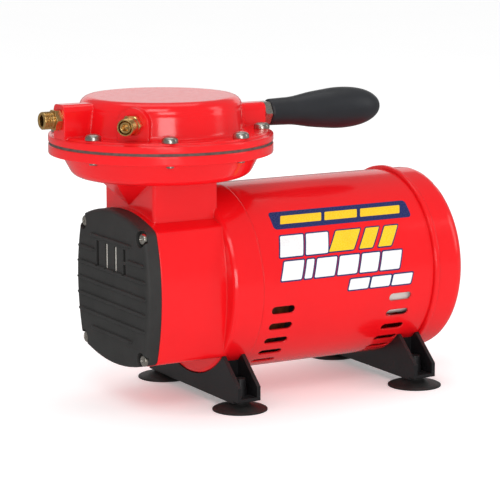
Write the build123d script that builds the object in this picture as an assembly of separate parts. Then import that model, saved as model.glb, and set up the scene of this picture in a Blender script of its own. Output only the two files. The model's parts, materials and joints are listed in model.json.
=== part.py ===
from build123d import *
from math import cos, radians, sin, sqrt
import os

# Direct-drive diaphragm air compressor. While it is modelled, X runs along the motor axis from the seam
# between the casting and the motor tube (+X to the rear), Z is up, and Y = Z = 0 is the motor axis. save()
# moves every piece so that the origin is the centre of the footprint, on the floor.

# Heights and lengths that place everything else
AXIS_HEIGHT = 90.5          # motor axis above the floor
HEAD_X = -48.0              # centre line of the head and of the connecting rod
STROKE = 8.0                # travel of the piston plates
CRANK = STROKE / 2

# Motor tube and its cooling slots
TUBE_R = 72.0
TUBE_WALL = 1.5
TUBE_LENGTH = 152.3
BORE_R = TUBE_R - TUBE_WALL
VENT_LENGTH = 20.0
VENT_WIDTH = 6.2
VENT_STARTS = (8.0, 112.5)
VENT_FIRST_ANGLE = 13.0     # below the horizontal
VENT_PITCH_ANGLE = 11.2
VENT_ROWS = 5

# Crankcase casting
CASE_FRONT = -79.4
SHIELD_FRONT = -25.0
SHIELD_R = 72.6
CASE_TOP = 58.7
CASE_BOTTOM = -59.2
CASE_SIDE = 60.5
CASE_CORNER_Y = 52.2
CASE_CORNER_TOP = 48.3
CASE_CORNER_BOTTOM = -51.0
CASE_CORNER_R = 5.0
CASE_WALL = 4.5
NECK_FRONT = -75.4
NECK_REAR = -22.4
NECK_SIDE = 40.2
NECK_EDGE_R = 2.5
GUSSET_HALF = 36.0
GUSSET_NOSE_HALF = 17.0
GUSSET_REACH = 20.0
GUSSET_LOW = 60.5
BOWL_BOTTOM = 82.3
BOWL_BASE_R = 60.0
BOWL_EDGE_R = 10.0
FLANGE_R = 84.6
LOWER_FLANGE = (99.8, 107.0)
RUBBER = 2.0                # thickness of the diaphragm

# Cylinder head
RIM = (LOWER_FLANGE[1] + RUBBER, 113.4)
SCREW_SEAT = 116.0
CHAMBER_R = 59.6
VALVE_PLATE_Z = (119.0, 123.0)
CHAMBER_TOP = 138.5
DOME_TOP = 142.5
DOME_EDGE_R = 8.0
DOME_R = 61.0
DOME_COVE_R = 3.5
HEAD_SCREWS = 8
HEAD_SCREW_CIRCLE_R = 76.3
SCREW_R = 3.0
OUTLET_END = -132.0
OUTLET_Z = 128.6
OUTLET_BOSS_HALF = 8.9
OUTLET_BOSS_TOP = 139.8
RELIEF_Z = 127.6
RELIEF_FACE = 67.0          # pad face, from the head's centre line
HANDLE_BOSS_END = 38.0
HANDLE_Z = 124.0
HANDLE_BOSS_HALF = 8.5
HANDLE_BOSS_TOP = 132.7

# Outlet fitting (G 1/4) and relief valve
NOSE_R = 6.58
FITTING_FLATS = 14.5
FITTING_HEX_END = -137.4
FITTING_TIP = -146.4
FITTING_BORE_R = 4.2
VALVE_FLATS = 13.8
VALVE_HEX_END = 73.0
VALVE_TIP = 85.0
VALVE_NOSE_R = 6.3
VALVE_BORE_R = 5.0
VALVE_SEAT = 58.0
BALL_R = 3.0

# Handle: M10 stud and jam nut, and the turned grip
STUD_R = 5.0
NUT_FLATS = 17.0
NUT_END = 44.3
GRIP_END = 145.0

# Front cover
COVER_FACE = -91.0
RIB_FACE = -92.6
COVER_WALL = 2.5
COVER_CORNER_R = 8.0
COVER_SCREW_Y = 48.2
COVER_SCREW_Z = (43.3, -47.5)
COVER_SLOT_Y = (-22.5, -7.5, 7.5, 22.5)
COVER_SLOT_Z = (12.4, 32.0)
COVER_SLOT_WIDTH = 4.2
LONG_RIBS_Z = (24.0, 12.0, -0.5, -12.5, -25.0)
SHORT_RIBS_Z = (35.5, -36.3)
RIB_THICKNESS = 2.4

# Rear cap
CAP_RIM_R = 74.6
CAP_RIM_WIDTH = 4.6
CAP_END = 182.0
CAP_EDGE_R = 9.0
CAP_WALL = 2.5

# On the rear cap's face: rocker switch and cable inlet
INLET_R = 7.0
INLET_PLACE = (0.0, -38.0)
SWITCH_Z = 38.0
SWITCH_HALF = (13.0, 9.5)
ROCKER_TILT = 7.0
ROCKER_PIVOT_X = CAP_END - 4.0

# Legs and suction cups
LEG_X = (-14.6, 142.4)
LEG_WIDTH = 19.4
LEG_HALF = 75.5
LEG_SHOULDER_Z = -71.0
LEG_END_Z = -81.8
LEG_BOTTOM = -84.0
LEG_SADDLE_HALF = 52.0
LEG_SIDE_WALL = 3.0
LEG_SCREW_Y = (-10.0, 10.0)
CUP_Y = 61.3
CUP_R = 20.8
CUP_STEM_R = 7.0

# Motor insides
SHAFT_R = 6.0
COLLAR_R = 8.0
BEARING_WIDTH = 10.0
BEARING_R = 16.0
FRONT_BEARING_X = -24.0
REAR_BEARING_X = 162.0
STACK = (34.0, 84.0)
WINDING_OVERHANG = 20.0
ROTOR_R = 37.5
STATOR_BORE_R = 38.0
SLOT_COUNT = 24
TIE_R = 66.3
TIE_BOLT_R = 2.0
FAN_X = (-9.0, 8.0)
CAPACITOR_R = 16.0
CAPACITOR_ANGLE = 198.5     # about the motor axis, from +Y towards +Z
CAPACITOR_X = (106.0, 144.6)

# Crank parts
ECC_R = 12.5
ROD_BEARING_R = 23.5
ROD_X = (-54.0, -42.0)
PISTON_R = 46.0
PISTON_BOTTOM = 101.0       # underside of the lower plate at the bottom of the stroke
LOWER_PLATE = (PISTON_BOTTOM, PISTON_BOTTOM + 2.0)
UPPER_PLATE = (LOWER_PLATE[1] + RUBBER, LOWER_PLATE[1] + RUBBER + 5.0)
PORT_X = 24.0               # valve ports, from the head's centre line
REED_KEEPER_X = 6.0
REED_TIP_X = 32.0
REED_WIDTH = 14.0
REED_THICKNESS = 0.4
REED_SHIFT = 7.5            # the intake reed sits further out, clear of the centre screw
INTAKE_PORT_X = PORT_X + REED_SHIFT
REED_FLOOR = UPPER_PLATE[0] + 1.4

BUSH_COLLAR = 0.9           # the cable bush stands this far out of the rear cap
ORIGIN_X = (FITTING_TIP + CAP_END + BUSH_COLLAR) / 2
FIT = 0.04                  # radial clearance of running and located fits


def turned(outline):
    """Solid of revolution about Z, from an outline of (radius, z)."""
    return revolve(Plane.XZ * make_face(Polyline(*outline, close=True)), Axis.Z, 360)


def turned_x(outline):
    """Solid of revolution about X, from an outline of (x, radius)."""
    return revolve(make_face(Polyline(*outline, close=True)), Axis.X, 360)


def turned_at(outline, x, y):
    return Pos(x, y, 0) * turned(outline)


def on_head(shape):
    """Moves a shape made about Z = 0 line X = 0 to the head's centre line."""
    return Pos(HEAD_X, 0, 0) * shape


def rod_x(radius, x0, x1, y=0.0, z=0.0):
    """Round bar along X."""
    return Pos((x0 + x1) / 2, y, z) * Rot(0, 90, 0) * Cylinder(radius, x1 - x0)


def rod_z(radius, z0, z1, x=0.0, y=0.0):
    """Round bar along Z."""
    return Pos(x, y, (z0 + z1) / 2) * Cylinder(radius, z1 - z0)


def ring_x(outer, inner, x0, x1, y=0.0, z=0.0):
    return rod_x(outer, x0, x1, y, z) - rod_x(inner, x0 - 1, x1 + 1, y, z)


def block(x0, x1, y0, y1, z0, z1):
    return Pos((x0 + x1) / 2, (y0 + y1) / 2, (z0 + z1) / 2) * Box(x1 - x0, y1 - y0, z1 - z0)


def hex_x(flats, x0, x1, turn=0.0, y=0.0, z=0.0):
    """Hexagonal bar along X, with a corner towards +Y when turn is 0."""
    face = Rot(0, 0, turn) * RegularPolygon(flats / 2, 6, major_radius=False)
    return Pos(0, y, z) * extrude(Plane.YZ.offset(x0) * face, x1 - x0)


def save(node, shape):
    """Writes one piece in the finished frame."""
    export_step(Pos(-ORIGIN_X, 0, AXIS_HEIGHT) * shape, f"parts/{node}.step")


def side_y(z):
    """Half-width of the casting's bulged side at height z."""
    return CASE_SIDE - (CASE_SIDE - CASE_CORNER_Y) * (z / CASE_CORNER_TOP) ** 2


def case_outline(inset=0.0, corner=CASE_CORNER_R):
    """Bulged square outline of the crankcase, as a face whose own X is the part's Y."""
    y = CASE_CORNER_Y - inset
    top = CASE_CORNER_TOP - inset
    bottom = CASE_CORNER_BOTTOM + inset
    side = CASE_SIDE - inset
    sides = [
        ThreePointArc((-y, top), (0, CASE_TOP - inset), (y, top)),
        ThreePointArc((y, top), (side, 0), (y, bottom)),
        ThreePointArc((y, bottom), (0, CASE_BOTTOM + inset), (-y, bottom)),
        ThreePointArc((-y, bottom), (-side, 0), (-y, top)),
    ]
    face = make_face(sides)
    return fillet(face.vertices(), corner)


def case_prism(x0, x1, inset=0.0, corner=CASE_CORNER_R):
    return extrude(Plane.YZ.offset(x0) * case_outline(inset, corner), x1 - x0)


def screw_circle(angle_offset=22.5):
    """Places of the head screws, from the head's centre line."""
    places = []
    for k in range(HEAD_SCREWS):
        angle = radians(angle_offset + 360 / HEAD_SCREWS * k)
        places.append((HEAD_SCREW_CIRCLE_R * cos(angle), HEAD_SCREW_CIRCLE_R * sin(angle)))
    return places


def pyramid(apex, corners):
    """Gusset: its apex low on a wall, its other corners on the plane above."""
    low = Vector(*apex)
    top = [Vector(*corner) for corner in corners]
    sides = [(low, top[k - 1], top[k]) for k in range(len(top))]
    faces = [Face(Wire.make_polygon(points)) for points in (top, *sides)]
    return Solid(Shell(faces)).fix()


# Crankcase, head and what they hold


def crankcase():
    """Casting: box, neck, bowl with its flange, and the round end shield of the motor."""
    body = case_prism(CASE_FRONT, SHIELD_FRONT + 2)
    shield = [(SHIELD_FRONT, 0), (SHIELD_FRONT, SHIELD_R - 3), (SHIELD_FRONT + 0.9, SHIELD_R - 0.9)]
    shield += [(SHIELD_FRONT + 3, SHIELD_R), (0, SHIELD_R), (0, 0)]
    body += turned_x(shield)
    body += rod_x(BORE_R - FIT, -1, 5)
    neck = block(NECK_FRONT, NECK_REAR, -NECK_SIDE, NECK_SIDE, 30, BOWL_BOTTOM + 2)
    neck = fillet(neck.edges().filter_by(Axis.Z).sort_by(Axis.X)[:2], NECK_EDGE_R)
    body += neck
    top = BOWL_BOTTOM + 0.2
    face = NECK_FRONT + 0.5
    nose = NECK_FRONT - GUSSET_REACH
    corners = [(face, -GUSSET_HALF), (face, GUSSET_HALF), (nose, GUSSET_NOSE_HALF), (nose, -GUSSET_NOSE_HALF)]
    body += pyramid((face, 0, GUSSET_LOW), [(x, y, top) for x, y in corners])
    bowl = [(0, BOWL_BOTTOM)]
    for a in range(0, 61, 10):
        rise = BOWL_EDGE_R * (1 - cos(radians(a)))
        bowl.append((BOWL_BASE_R + BOWL_EDGE_R * sin(radians(a)), BOWL_BOTTOM + rise))
    z0, z1 = LOWER_FLANGE
    bowl += [(74.6, z0 - 1.2), (75.4, z0 - 0.3), (76.4, z0), (FLANGE_R - 0.9, z0)]
    bowl += [(FLANGE_R - 0.25, z0 + 0.25)]
    bowl += [(FLANGE_R, z0 + 0.9), (FLANGE_R, z1 - 0.4), (FLANGE_R - 0.4, z1), (0, z1)]
    body += on_head(turned(bowl))
    # hollows: crank chamber, neck shaft, bowl, motor side
    wall = CASE_WALL
    body -= case_prism(CASE_FRONT - 1, SHIELD_FRONT, wall, 4)
    inner_neck = NECK_SIDE - wall
    body -= block(NECK_FRONT + wall, NECK_REAR - 5, -inner_neck, inner_neck, 20, LOWER_FLANGE[1] + 1)
    hollow = [(0, 87), (52, 87), (57, 91), (CHAMBER_R, 100), (CHAMBER_R, 108), (0, 108)]
    body -= on_head(turned(hollow))
    inner_r = SHIELD_R - 5.4
    web = SHIELD_FRONT + 5
    motor_side = [(web, 21), (web, inner_r), (6, inner_r), (6, 0), (-12.5, 0)]
    body -= turned_x(motor_side + [(-12.5, 21)])
    # bearing seat and shaft hole in the web
    body += rod_x(21, SHIELD_FRONT - 1.5, -12.5)
    body -= rod_x(BEARING_R + FIT, FRONT_BEARING_X, 0)
    body -= rod_x(SHAFT_R + 3, -40, 0)
    for x, y in screw_circle():
        body -= rod_z(SCREW_R + FIT, 90, 110, HEAD_X + x, y)
    # pillars for the cover screws, and bosses for the tie bolts
    for z in COVER_SCREW_Z:
        for y in (-COVER_SCREW_Y, COVER_SCREW_Y):
            inward = 1.5 if z > 0 else -1.5
            pillar = rod_x(5.0, CASE_FRONT, SHIELD_FRONT, y * 0.985, z - inward)
            body += pillar & case_prism(CASE_FRONT, SHIELD_FRONT)
            body -= rod_x(2.0 + FIT, CASE_FRONT - 1, CASE_FRONT + 22, y, z)
    for y, z in tie_places():
        body += rod_x(4.5, SHIELD_FRONT + 3, 5, y, z) & rod_x(BORE_R - FIT, SHIELD_FRONT, 5)
        body -= rod_x(TIE_BOLT_R + FIT, SHIELD_FRONT + 6, 6, y, z)
    for y in LEG_SCREW_Y:
        body -= rod_z(2.0 + FIT, -80, -60, LEG_X[0], y)
    return body


def cylinder_head():
    """Head casting: flange, dome with the pressure chamber, and three bosses."""
    outline = [(0, RIM[0]), (FLANGE_R - 0.4, RIM[0]), (FLANGE_R, RIM[0] + 0.4), (FLANGE_R, RIM[1])]
    outline += [(FLANGE_R - 0.25, RIM[1] + 0.6), (FLANGE_R - 0.9, RIM[1] + 0.9), (82.2, RIM[1] + 0.9)]
    outline += [(81.8, RIM[1] + 1.4), (81.4, SCREW_SEAT - 0.4), (80.9, SCREW_SEAT)]
    for a in range(0, 81, 20):
        rise = DOME_COVE_R * (1 - cos(radians(a)))
        outline.append((66.4 - DOME_COVE_R * sin(radians(a)), SCREW_SEAT + rise))
    outline += [(61.6, 132.5)]
    steps = 6
    for k in range(steps + 1):
        angle = radians(90 * k / steps)
        centre_r = DOME_R - DOME_EDGE_R
        outline.append((centre_r + DOME_EDGE_R * cos(angle), DOME_TOP - DOME_EDGE_R * (1 - sin(angle))))
    outline.append((0, DOME_TOP))
    body = turned(outline)
    # outlet boss towards -X, handle boss towards +X, both with rounded tops
    length = OUTLET_END - HEAD_X
    half = OUTLET_BOSS_HALF
    boss = block(length, -40, -half, half, RIM[0], OUTLET_BOSS_TOP)
    boss = fillet(boss.edges().filter_by(Axis.X).sort_by(Axis.Z)[-2:], 5.0)
    body += boss
    length = HANDLE_BOSS_END - HEAD_X
    half = HANDLE_BOSS_HALF
    boss = block(40, length, -half, half, RIM[1] - 1, HANDLE_BOSS_TOP)
    body += fillet(boss.edges().filter_by(Axis.X).sort_by(Axis.Z)[-2:], 5.0)
    # arched pad of the relief valve
    pad = block(45, RELIEF_FACE, -12, 12, RIM[1], RELIEF_Z)
    pad += Pos(56, 0, RELIEF_Z) * Rot(0, 90, 0) * Cylinder(12, 2 * (RELIEF_FACE - 56))
    body += Rot(0, 0, 225) * pad
    # chamber: seat for the valve plate below, pressure space above
    body -= rod_z(CHAMBER_R, RIM[0] - 1, VALVE_PLATE_Z[1])
    body -= rod_z(CHAMBER_R - 4, VALVE_PLATE_Z[1] - 1, CHAMBER_TOP)
    for k in range(4):
        angle = radians(45 + 90 * k)
        place = (49 * cos(angle), 49 * sin(angle))
        body += rod_z(5, VALVE_PLATE_Z[1], CHAMBER_TOP + 1, *place)
        body -= rod_z(2.0 + FIT, VALVE_PLATE_Z[1] - 1, VALVE_PLATE_Z[1] + 10, *place)
    # drilled passages
    body -= rod_x(4.2, OUTLET_END - HEAD_X - 1, -50, 0, OUTLET_Z)
    body -= rod_x(5.6, OUTLET_END - HEAD_X - 1, OUTLET_END - HEAD_X + 12, 0, OUTLET_Z)
    body -= Rot(0, 0, 225) * rod_x(4.5 + FIT, 50, RELIEF_FACE + 1, 0, RELIEF_Z)
    body -= rod_x(STUD_R + FIT, HANDLE_BOSS_END - HEAD_X - 20, HANDLE_BOSS_END - HEAD_X + 1, 0, HANDLE_Z)
    for x, y in screw_circle():
        body -= rod_z(SCREW_R + 0.2, RIM[0] - 1, SCREW_SEAT + 8, x, y)
        body -= rod_z(7.0, SCREW_SEAT, SCREW_SEAT + 8, x, y)
    return on_head(body)


def diaphragm():
    """Rubber disc clamped between the flanges, dished down to the piston plates at rest."""
    low = LOWER_PLATE[1]
    rim = LOWER_FLANGE[1]
    outline = [(4.2, low), (PISTON_R + 1, low), (CHAMBER_R - 3, rim - 0.2), (CHAMBER_R, rim)]
    outline += [(FLANGE_R - 0.5, rim)]
    outline += [(r, z + RUBBER) for r, z in reversed(outline)]
    body = turned(outline)
    for x, y in screw_circle():
        body -= rod_z(SCREW_R + 0.2, rim - 1, rim + RUBBER + 1, x, y)
    body -= rod_z(4.0, low - 1, low + RUBBER + 1, INTAKE_PORT_X)
    return on_head(body)


def valve_plate():
    """Disc with the outlet port and a shallow pocket that gives the reed's tail room."""
    z0, z1 = VALVE_PLATE_Z
    plate = rod_z(CHAMBER_R - FIT, z0, z1)
    plate -= rod_z(4.0, z0 - 1, z1 + 1, -PORT_X)
    half = REED_WIDTH / 2 + 0.3
    plate -= block(-REED_KEEPER_X, -REED_KEEPER_X + 4.5, -half, half, z1 - 0.6, z1 + 1)
    for x, y in diagonal_places():
        plate -= rod_z(2.2, z0 - 1, z1 + 1, x, y)
        plate -= turned_at([(0, z0 - 0.1), (4.3, z0 - 0.1), (2.2, z0 + 2.2), (0, z0 + 2.2)], x, y)
    for y in keeper_screw_y():
        plate -= rod_z(1.5, z0 - 1, z1 + 1, -REED_KEEPER_X + 2.2, y)
    return on_head(plate)


def diagonal_places():
    return [(49 * cos(radians(a)), 49 * sin(radians(a))) for a in (45, 135, 225, 315)]


def valve_plate_screws():
    """Four countersunk screws, from below."""
    z0 = VALVE_PLATE_Z[0]
    outline = [(0, z0), (4.0, z0), (2.0, z0 + 2.1), (2.0, z0 + 12), (0, z0 + 12)]
    screws = [turned_at(outline, x, y) - block(x - 0.4, x + 0.4, y - 3, y + 3, z0 - 1, z0 + 0.8)
              for x, y in diagonal_places()]
    return on_head(Compound(screws))


def keeper_screw_y():
    return (-REED_WIDTH / 2 - 2.6, REED_WIDTH / 2 + 2.6)


def reed_flap(z):
    """Spring-steel flap over a port: hinge line at the keeper, a short tail behind it, towards +X."""
    half = REED_WIDTH / 2
    flap = block(REED_KEEPER_X, REED_TIP_X - half, -half, half, z, z + REED_THICKNESS)
    flap += rod_z(half, z, z + REED_THICKNESS, REED_TIP_X - half)
    flap += block(REED_KEEPER_X - 3.5, REED_KEEPER_X, -half, half, z, z + REED_THICKNESS)
    return flap


def reed_keeper(z):
    """Bar across the reed's tail, on two feet beside it, with its screws' holes."""
    ends = REED_WIDTH / 2 + 5.2
    bar = block(REED_KEEPER_X - 4.6, REED_KEEPER_X - 0.2, -ends, ends, z, z + 2.3)
    half = REED_WIDTH / 2 + 0.3
    bar -= block(REED_KEEPER_X - 6, REED_KEEPER_X + 1, -half, half, z - 1, z + REED_THICKNESS + 0.15)
    for y in keeper_screw_y():
        bar -= rod_z(1.6, z - 1, z + 3, REED_KEEPER_X - 2.2, y)
    return bar


def keeper_screws(z, depth):
    """Two small pan-head screws of a reed keeper."""
    screws = []
    for y in keeper_screw_y():
        outline = [(0, z - depth), (1.45, z - depth), (1.45, z + 2.3)]
        outline += [(2.6, z + 2.3), (2.6, z + 3.3), (0, z + 3.3)]
        screws.append(turned_at(outline, REED_KEEPER_X - 2.2, y))
    return Compound(screws)


def outlet_fitting():
    """Brass fitting: thread into the boss, hexagon, threaded nose with an open bore."""
    nose = [(FITTING_TIP, 0), (FITTING_TIP, NOSE_R - 1), (FITTING_TIP + 1, NOSE_R), (FITTING_HEX_END, NOSE_R)]
    nose += [(FITTING_HEX_END, 5.5), (OUTLET_END + 11, 5.5), (OUTLET_END + 11, 0)]
    body = turned_x(nose) + hex_x(FITTING_FLATS, FITTING_HEX_END, OUTLET_END)
    body -= rod_x(FITTING_BORE_R, FITTING_TIP - 1, OUTLET_END + 12)
    return Pos(0, 0, OUTLET_Z) * body


def on_relief(shape):
    """Moves a shape made along +X from the head's centre line to the relief valve's direction."""
    return on_head(Pos(0, 0, RELIEF_Z) * (Rot(0, 0, 225) * shape))


def relief_valve_body():
    """Brass body: thread, hexagon, tapered shoulder and nose, bored from the outside down to a seat."""
    outline = [(VALVE_SEAT, 0), (VALVE_SEAT, 4.5), (RELIEF_FACE, 4.5), (RELIEF_FACE, 6.4), (VALVE_HEX_END, 6.6)]
    outline += [(VALVE_HEX_END + 2.5, VALVE_NOSE_R), (VALVE_TIP - 0.8, VALVE_NOSE_R)]
    outline += [(VALVE_TIP, VALVE_NOSE_R - 0.8)]
    body = turned_x(outline + [(VALVE_TIP, 0)]) + hex_x(VALVE_FLATS, RELIEF_FACE, VALVE_HEX_END)
    body -= rod_x(1.8, VALVE_SEAT - 1, VALVE_SEAT + 5)
    body -= rod_x(BALL_R + 0.1, VALVE_SEAT + 3, VALVE_TIP + 1)
    body -= rod_x(VALVE_BORE_R, VALVE_TIP - 11, VALVE_TIP + 1)
    return on_relief(body)


def ball_centre():
    """Where the ball sits on the edge of its seat, from the head's centre line."""
    return VALVE_SEAT + 3 + sqrt(BALL_R ** 2 - 1.8 ** 2) + 0.03


def relief_spring():
    """Coil spring between the ball and the adjusting screw."""
    wire_r = 0.35
    start = ball_centre() + 2.6
    length = VALVE_TIP - 11 - wire_r - 0.05 - start
    path = Helix(pitch=length / 5, height=length, radius=2.35)
    wire = Plane(origin=path @ 0, z_dir=path % 0) * Circle(wire_r)
    coil = sweep(wire, path=path)
    return on_relief(Pos(start, 0, 0) * Rot(0, 90, 0) * coil)


def relief_adjusting_screw():
    """Socket screw that loads the spring."""
    start = VALVE_TIP - 11
    outline = [(start, 0), (start, 4.0), (start + 0.6, 4.96), (VALVE_TIP - 4, 4.96), (VALVE_TIP - 3.4, 4.5)]
    outline += [(VALVE_TIP - 1.2, 4.4), (VALVE_TIP - 0.2, 3.3), (VALVE_TIP - 0.2, 0)]
    return on_relief(turned_x(outline) - hex_x(4.4, VALVE_TIP - 4.5, VALVE_TIP + 1))


def relief_ball():
    return on_relief(Pos(ball_centre(), 0, 0) * Sphere(BALL_R))


def head_screws():
    """Pan-head screws with a cross recess, their tips just through the lower flange."""
    seat = SCREW_SEAT
    head = [(0, 97.6), (2.4, 97.6), (SCREW_R, 98.3), (SCREW_R, seat), (5.9, seat), (6.0, seat + 2.2)]
    head += [(5.2, seat + 3.6), (3.4, seat + 4.4), (0, seat + 4.6)]
    screw = turned(head)
    top = SCREW_SEAT + 5
    screw -= block(-3.2, 3.2, -0.55, 0.55, top - 2.6, top) + block(-0.55, 0.55, -3.2, 3.2, top - 2.6, top)
    screws = [Pos(HEAD_X + x, y, 0) * Rot(0, 0, 17 * k) * screw for k, (x, y) in enumerate(screw_circle())]
    return Compound(screws)


# Handle


def handle_stud():
    return rod_x(STUD_R, HANDLE_BOSS_END - 18, NUT_END + 26, 0, HANDLE_Z)


def handle_nut():
    nut = hex_x(NUT_FLATS, HANDLE_BOSS_END, NUT_END, 0, 0, HANDLE_Z)
    x0, x1 = HANDLE_BOSS_END, NUT_END
    chamfer = turned_x([(x0, 0), (x0, 8.8), (x0 + 0.8, 9.9), (x1 - 0.8, 9.9), (x1, 8.8), (x1, 0)])
    return (nut & (Pos(0, 0, HANDLE_Z) * chamfer)) - rod_x(STUD_R + FIT, x0 - 1, x1 + 1, 0, HANDLE_Z)


def handle_grip():
    """Turned grip: slim neck, full belly, blunt round end."""
    start = NUT_END + 0.2
    belly = [(59, 10.6), (67, 11.1), (80, 13.3), (95, 15.1), (102, 15.8), (111, 16.05), (120, 15.5)]
    belly += [(129, 13.9), (136, 11.4), (141, 8.3), (144, 4.9), (GRIP_END - 0.15, 1.6)]
    neck = Polyline(belly[-1], (GRIP_END, 0), (start, 0), (start, 9.4), (start + 1.4, 10.2), belly[0])
    body = Pos(0, 0, HANDLE_Z) * revolve(make_face([neck, Spline(*belly)]), Axis.X, 360)
    return body - rod_x(STUD_R + FIT, NUT_END, NUT_END + 26.5, 0, HANDLE_Z)


# Front cover


def front_cover():
    """Tray with a rounded edge, horizontal ribs, four slots, and sunk pockets for its screws."""
    body = case_prism(COVER_FACE, CASE_FRONT, 0.3, COVER_CORNER_R)
    body = fillet(body.faces().sort_by(Axis.X)[0].edges(), 3.0)
    for z in LONG_RIBS_Z + SHORT_RIBS_Z:
        long = z in LONG_RIBS_Z
        half = side_y(z) - 2.9 if long else 34.0
        rib = block(RIB_FACE, COVER_FACE + 1, -half, half, z - RIB_THICKNESS / 2, z + RIB_THICKNESS / 2)
        body += fillet(rib.edges().filter_by(Axis.Y).sort_by(Axis.X)[:2], 0.9)
    # the rib at the slots stops short of them
    body -= block(RIB_FACE - 1, COVER_FACE, -27, 27, 20, 28)
    body -= case_prism(COVER_FACE + COVER_WALL, CASE_FRONT + 1, COVER_WALL + 0.5, 5)
    for k, y in enumerate(COVER_SLOT_Y):
        half = COVER_SLOT_WIDTH / 2
        z0, z1 = COVER_SLOT_Z
        body -= block(RIB_FACE - 1, COVER_FACE + 4, y - half, y + half, z0, z1)
        if k == 0:
            body += block(RIB_FACE + 0.4, COVER_FACE + COVER_WALL, y - half, y + half, 19.8, 22.2)
    # frame behind the slots that holds the filter pad
    face = COVER_FACE
    frame = block(face + 1, face + 7, -17, 17, 7, 37) - block(face, face + 8, -15, 15, 9, 35)
    for y in COVER_SLOT_Y:
        half = COVER_SLOT_WIDTH / 2
        frame -= block(COVER_FACE, COVER_FACE + COVER_WALL, y - half, y + half, *COVER_SLOT_Z)
    body += frame
    for z in COVER_SCREW_Z:
        for y in (-COVER_SCREW_Y, COVER_SCREW_Y):
            pillar = rod_x(7.6, COVER_FACE + 2, CASE_FRONT, y, z)
            body += pillar & case_prism(COVER_FACE + 1, CASE_FRONT, 0.6, 8)
            body -= rod_x(6.2, RIB_FACE - 2, COVER_FACE + 4, y, z)
            body -= rod_x(2.3, RIB_FACE - 2, CASE_FRONT + 1, y, z)
    return body


def cover_screws():
    seat = COVER_FACE + 4
    outline = [(CASE_FRONT + 20, 0), (CASE_FRONT + 20, 2.0), (seat, 2.0), (seat, 4.3), (seat - 1.6, 4.4)]
    outline += [(seat - 2.7, 3.4), (seat - 3.1, 1.5), (seat - 3.1, 0)]
    screw = turned_x(outline)
    x0, x1 = seat - 4, seat - 1.4
    screw -= block(x0, x1, -2.4, 2.4, -0.45, 0.45) + block(x0, x1, -0.45, 0.45, -2.4, 2.4)
    places = [(y, z) for z in COVER_SCREW_Z for y in (-COVER_SCREW_Y, COVER_SCREW_Y)]
    return Compound([Pos(0, y, z) * Rot(25 * k, 0, 0) * screw for k, (y, z) in enumerate(places)])


def intake_filter():
    """Felt pad behind the middle slots."""
    return block(COVER_FACE + COVER_WALL, COVER_FACE + 6.5, -14.9, 14.9, 9.1, 34.9)


# Motor


def tie_places():
    return [(TIE_R * cos(radians(a)), TIE_R * sin(radians(a))) for a in (62, 118, 242, 298)]


def motor_tube():
    """Rolled tube with two groups of slots low on each side."""
    tube = ring_x(TUBE_R, BORE_R, 0, TUBE_LENGTH)
    cutters = [rod_z(2.0 + FIT, -80, -60, LEG_X[1], y) for y in LEG_SCREW_Y]
    slot = SlotCenterToCenter(VENT_LENGTH - VENT_WIDTH, VENT_WIDTH)
    for start in VENT_STARTS:
        cutter = Pos(start + VENT_LENGTH / 2, 0, 0) * extrude(Plane.XZ * slot, -2 * TUBE_R)
        for row in range(VENT_ROWS):
            angle = VENT_FIRST_ANGLE + VENT_PITCH_ANGLE * row
            cutters += [cutter.rotate(Axis.X, -angle), cutter.rotate(Axis.X, 180 + angle)]
    return tube - cutters


def rear_cap():
    """End bell with a raised rim over the tube's end, a rounded edge and an inner bearing hub."""
    x0 = TUBE_LENGTH
    centre = CAP_END - CAP_EDGE_R
    edge = []
    for a in range(15, 91, 15):
        edge.append((centre + CAP_EDGE_R * sin(radians(a)), TUBE_R - CAP_EDGE_R * (1 - cos(radians(a)))))
    outline = [(x0 - 7, 0), (x0 - 7, BORE_R - FIT), (x0, BORE_R - FIT)]
    outline += [(x0, CAP_RIM_R - 0.8), (x0 + 0.8, CAP_RIM_R)]
    outline += [(x0 + CAP_RIM_WIDTH - 1, CAP_RIM_R), (x0 + CAP_RIM_WIDTH, CAP_RIM_R - 0.9)]
    outline += [(x0 + CAP_RIM_WIDTH + 0.6, TUBE_R), (centre, TUBE_R)] + edge + [(CAP_END, 0)]
    body = turned_x(outline)
    inner = TUBE_R - 4.5
    wall = CAP_END - CAP_WALL - 1
    hollow = [(x0 - 8, 0), (x0 - 8, inner), (CAP_END - 9, inner), (wall, inner - 7), (wall, 0)]
    body -= turned_x(hollow)
    body += rod_x(20.5, REAR_BEARING_X, CAP_END - 1)
    for k in range(6):
        body += block(REAR_BEARING_X + 4, CAP_END - 2, 18, inner + 0.5, -1.25, 1.25).rotate(Axis.X, 60 * k)
    body -= rod_x(BEARING_R + FIT, REAR_BEARING_X - 1, REAR_BEARING_X + BEARING_WIDTH + 1)
    body -= rod_x(12, REAR_BEARING_X, wall)
    for y, z in tie_places():
        body += rod_x(5.6, x0 - 6, CAP_END - 8, y, z) & rod_x(BORE_R - FIT, x0 - 7, CAP_END)
        body -= rod_x(TIE_BOLT_R + 0.2, x0 - 8, CAP_END, y, z)
        body -= rod_x(4.6, CAP_END - 10, CAP_END + 1, y, z)
    body -= switch_box(0.15, 11)
    body -= rod_x(INLET_R, CAP_END - 6, CAP_END + 1, *INLET_PLACE)
    return body


def switch_box(gap, depth):
    y, z = SWITCH_HALF
    x0 = CAP_END - depth
    return block(x0, CAP_END + 1, -y - gap, y + gap, SWITCH_Z - z - gap, SWITCH_Z + z + gap)


def switch_housing():
    """Rocker switch body, flush with the cap's face, with two blade terminals inside."""
    y, z = SWITCH_HALF
    body = block(CAP_END - 16, CAP_END + 0.8, -y, y, SWITCH_Z - z, SWITCH_Z + z)
    body -= block(CAP_END - 8, CAP_END + 2, -y + 2.5, y - 2.5, SWITCH_Z - z + 2, SWITCH_Z + z - 2)
    body -= rocker_pin(1.2 + FIT, 8.8)
    return body


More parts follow.
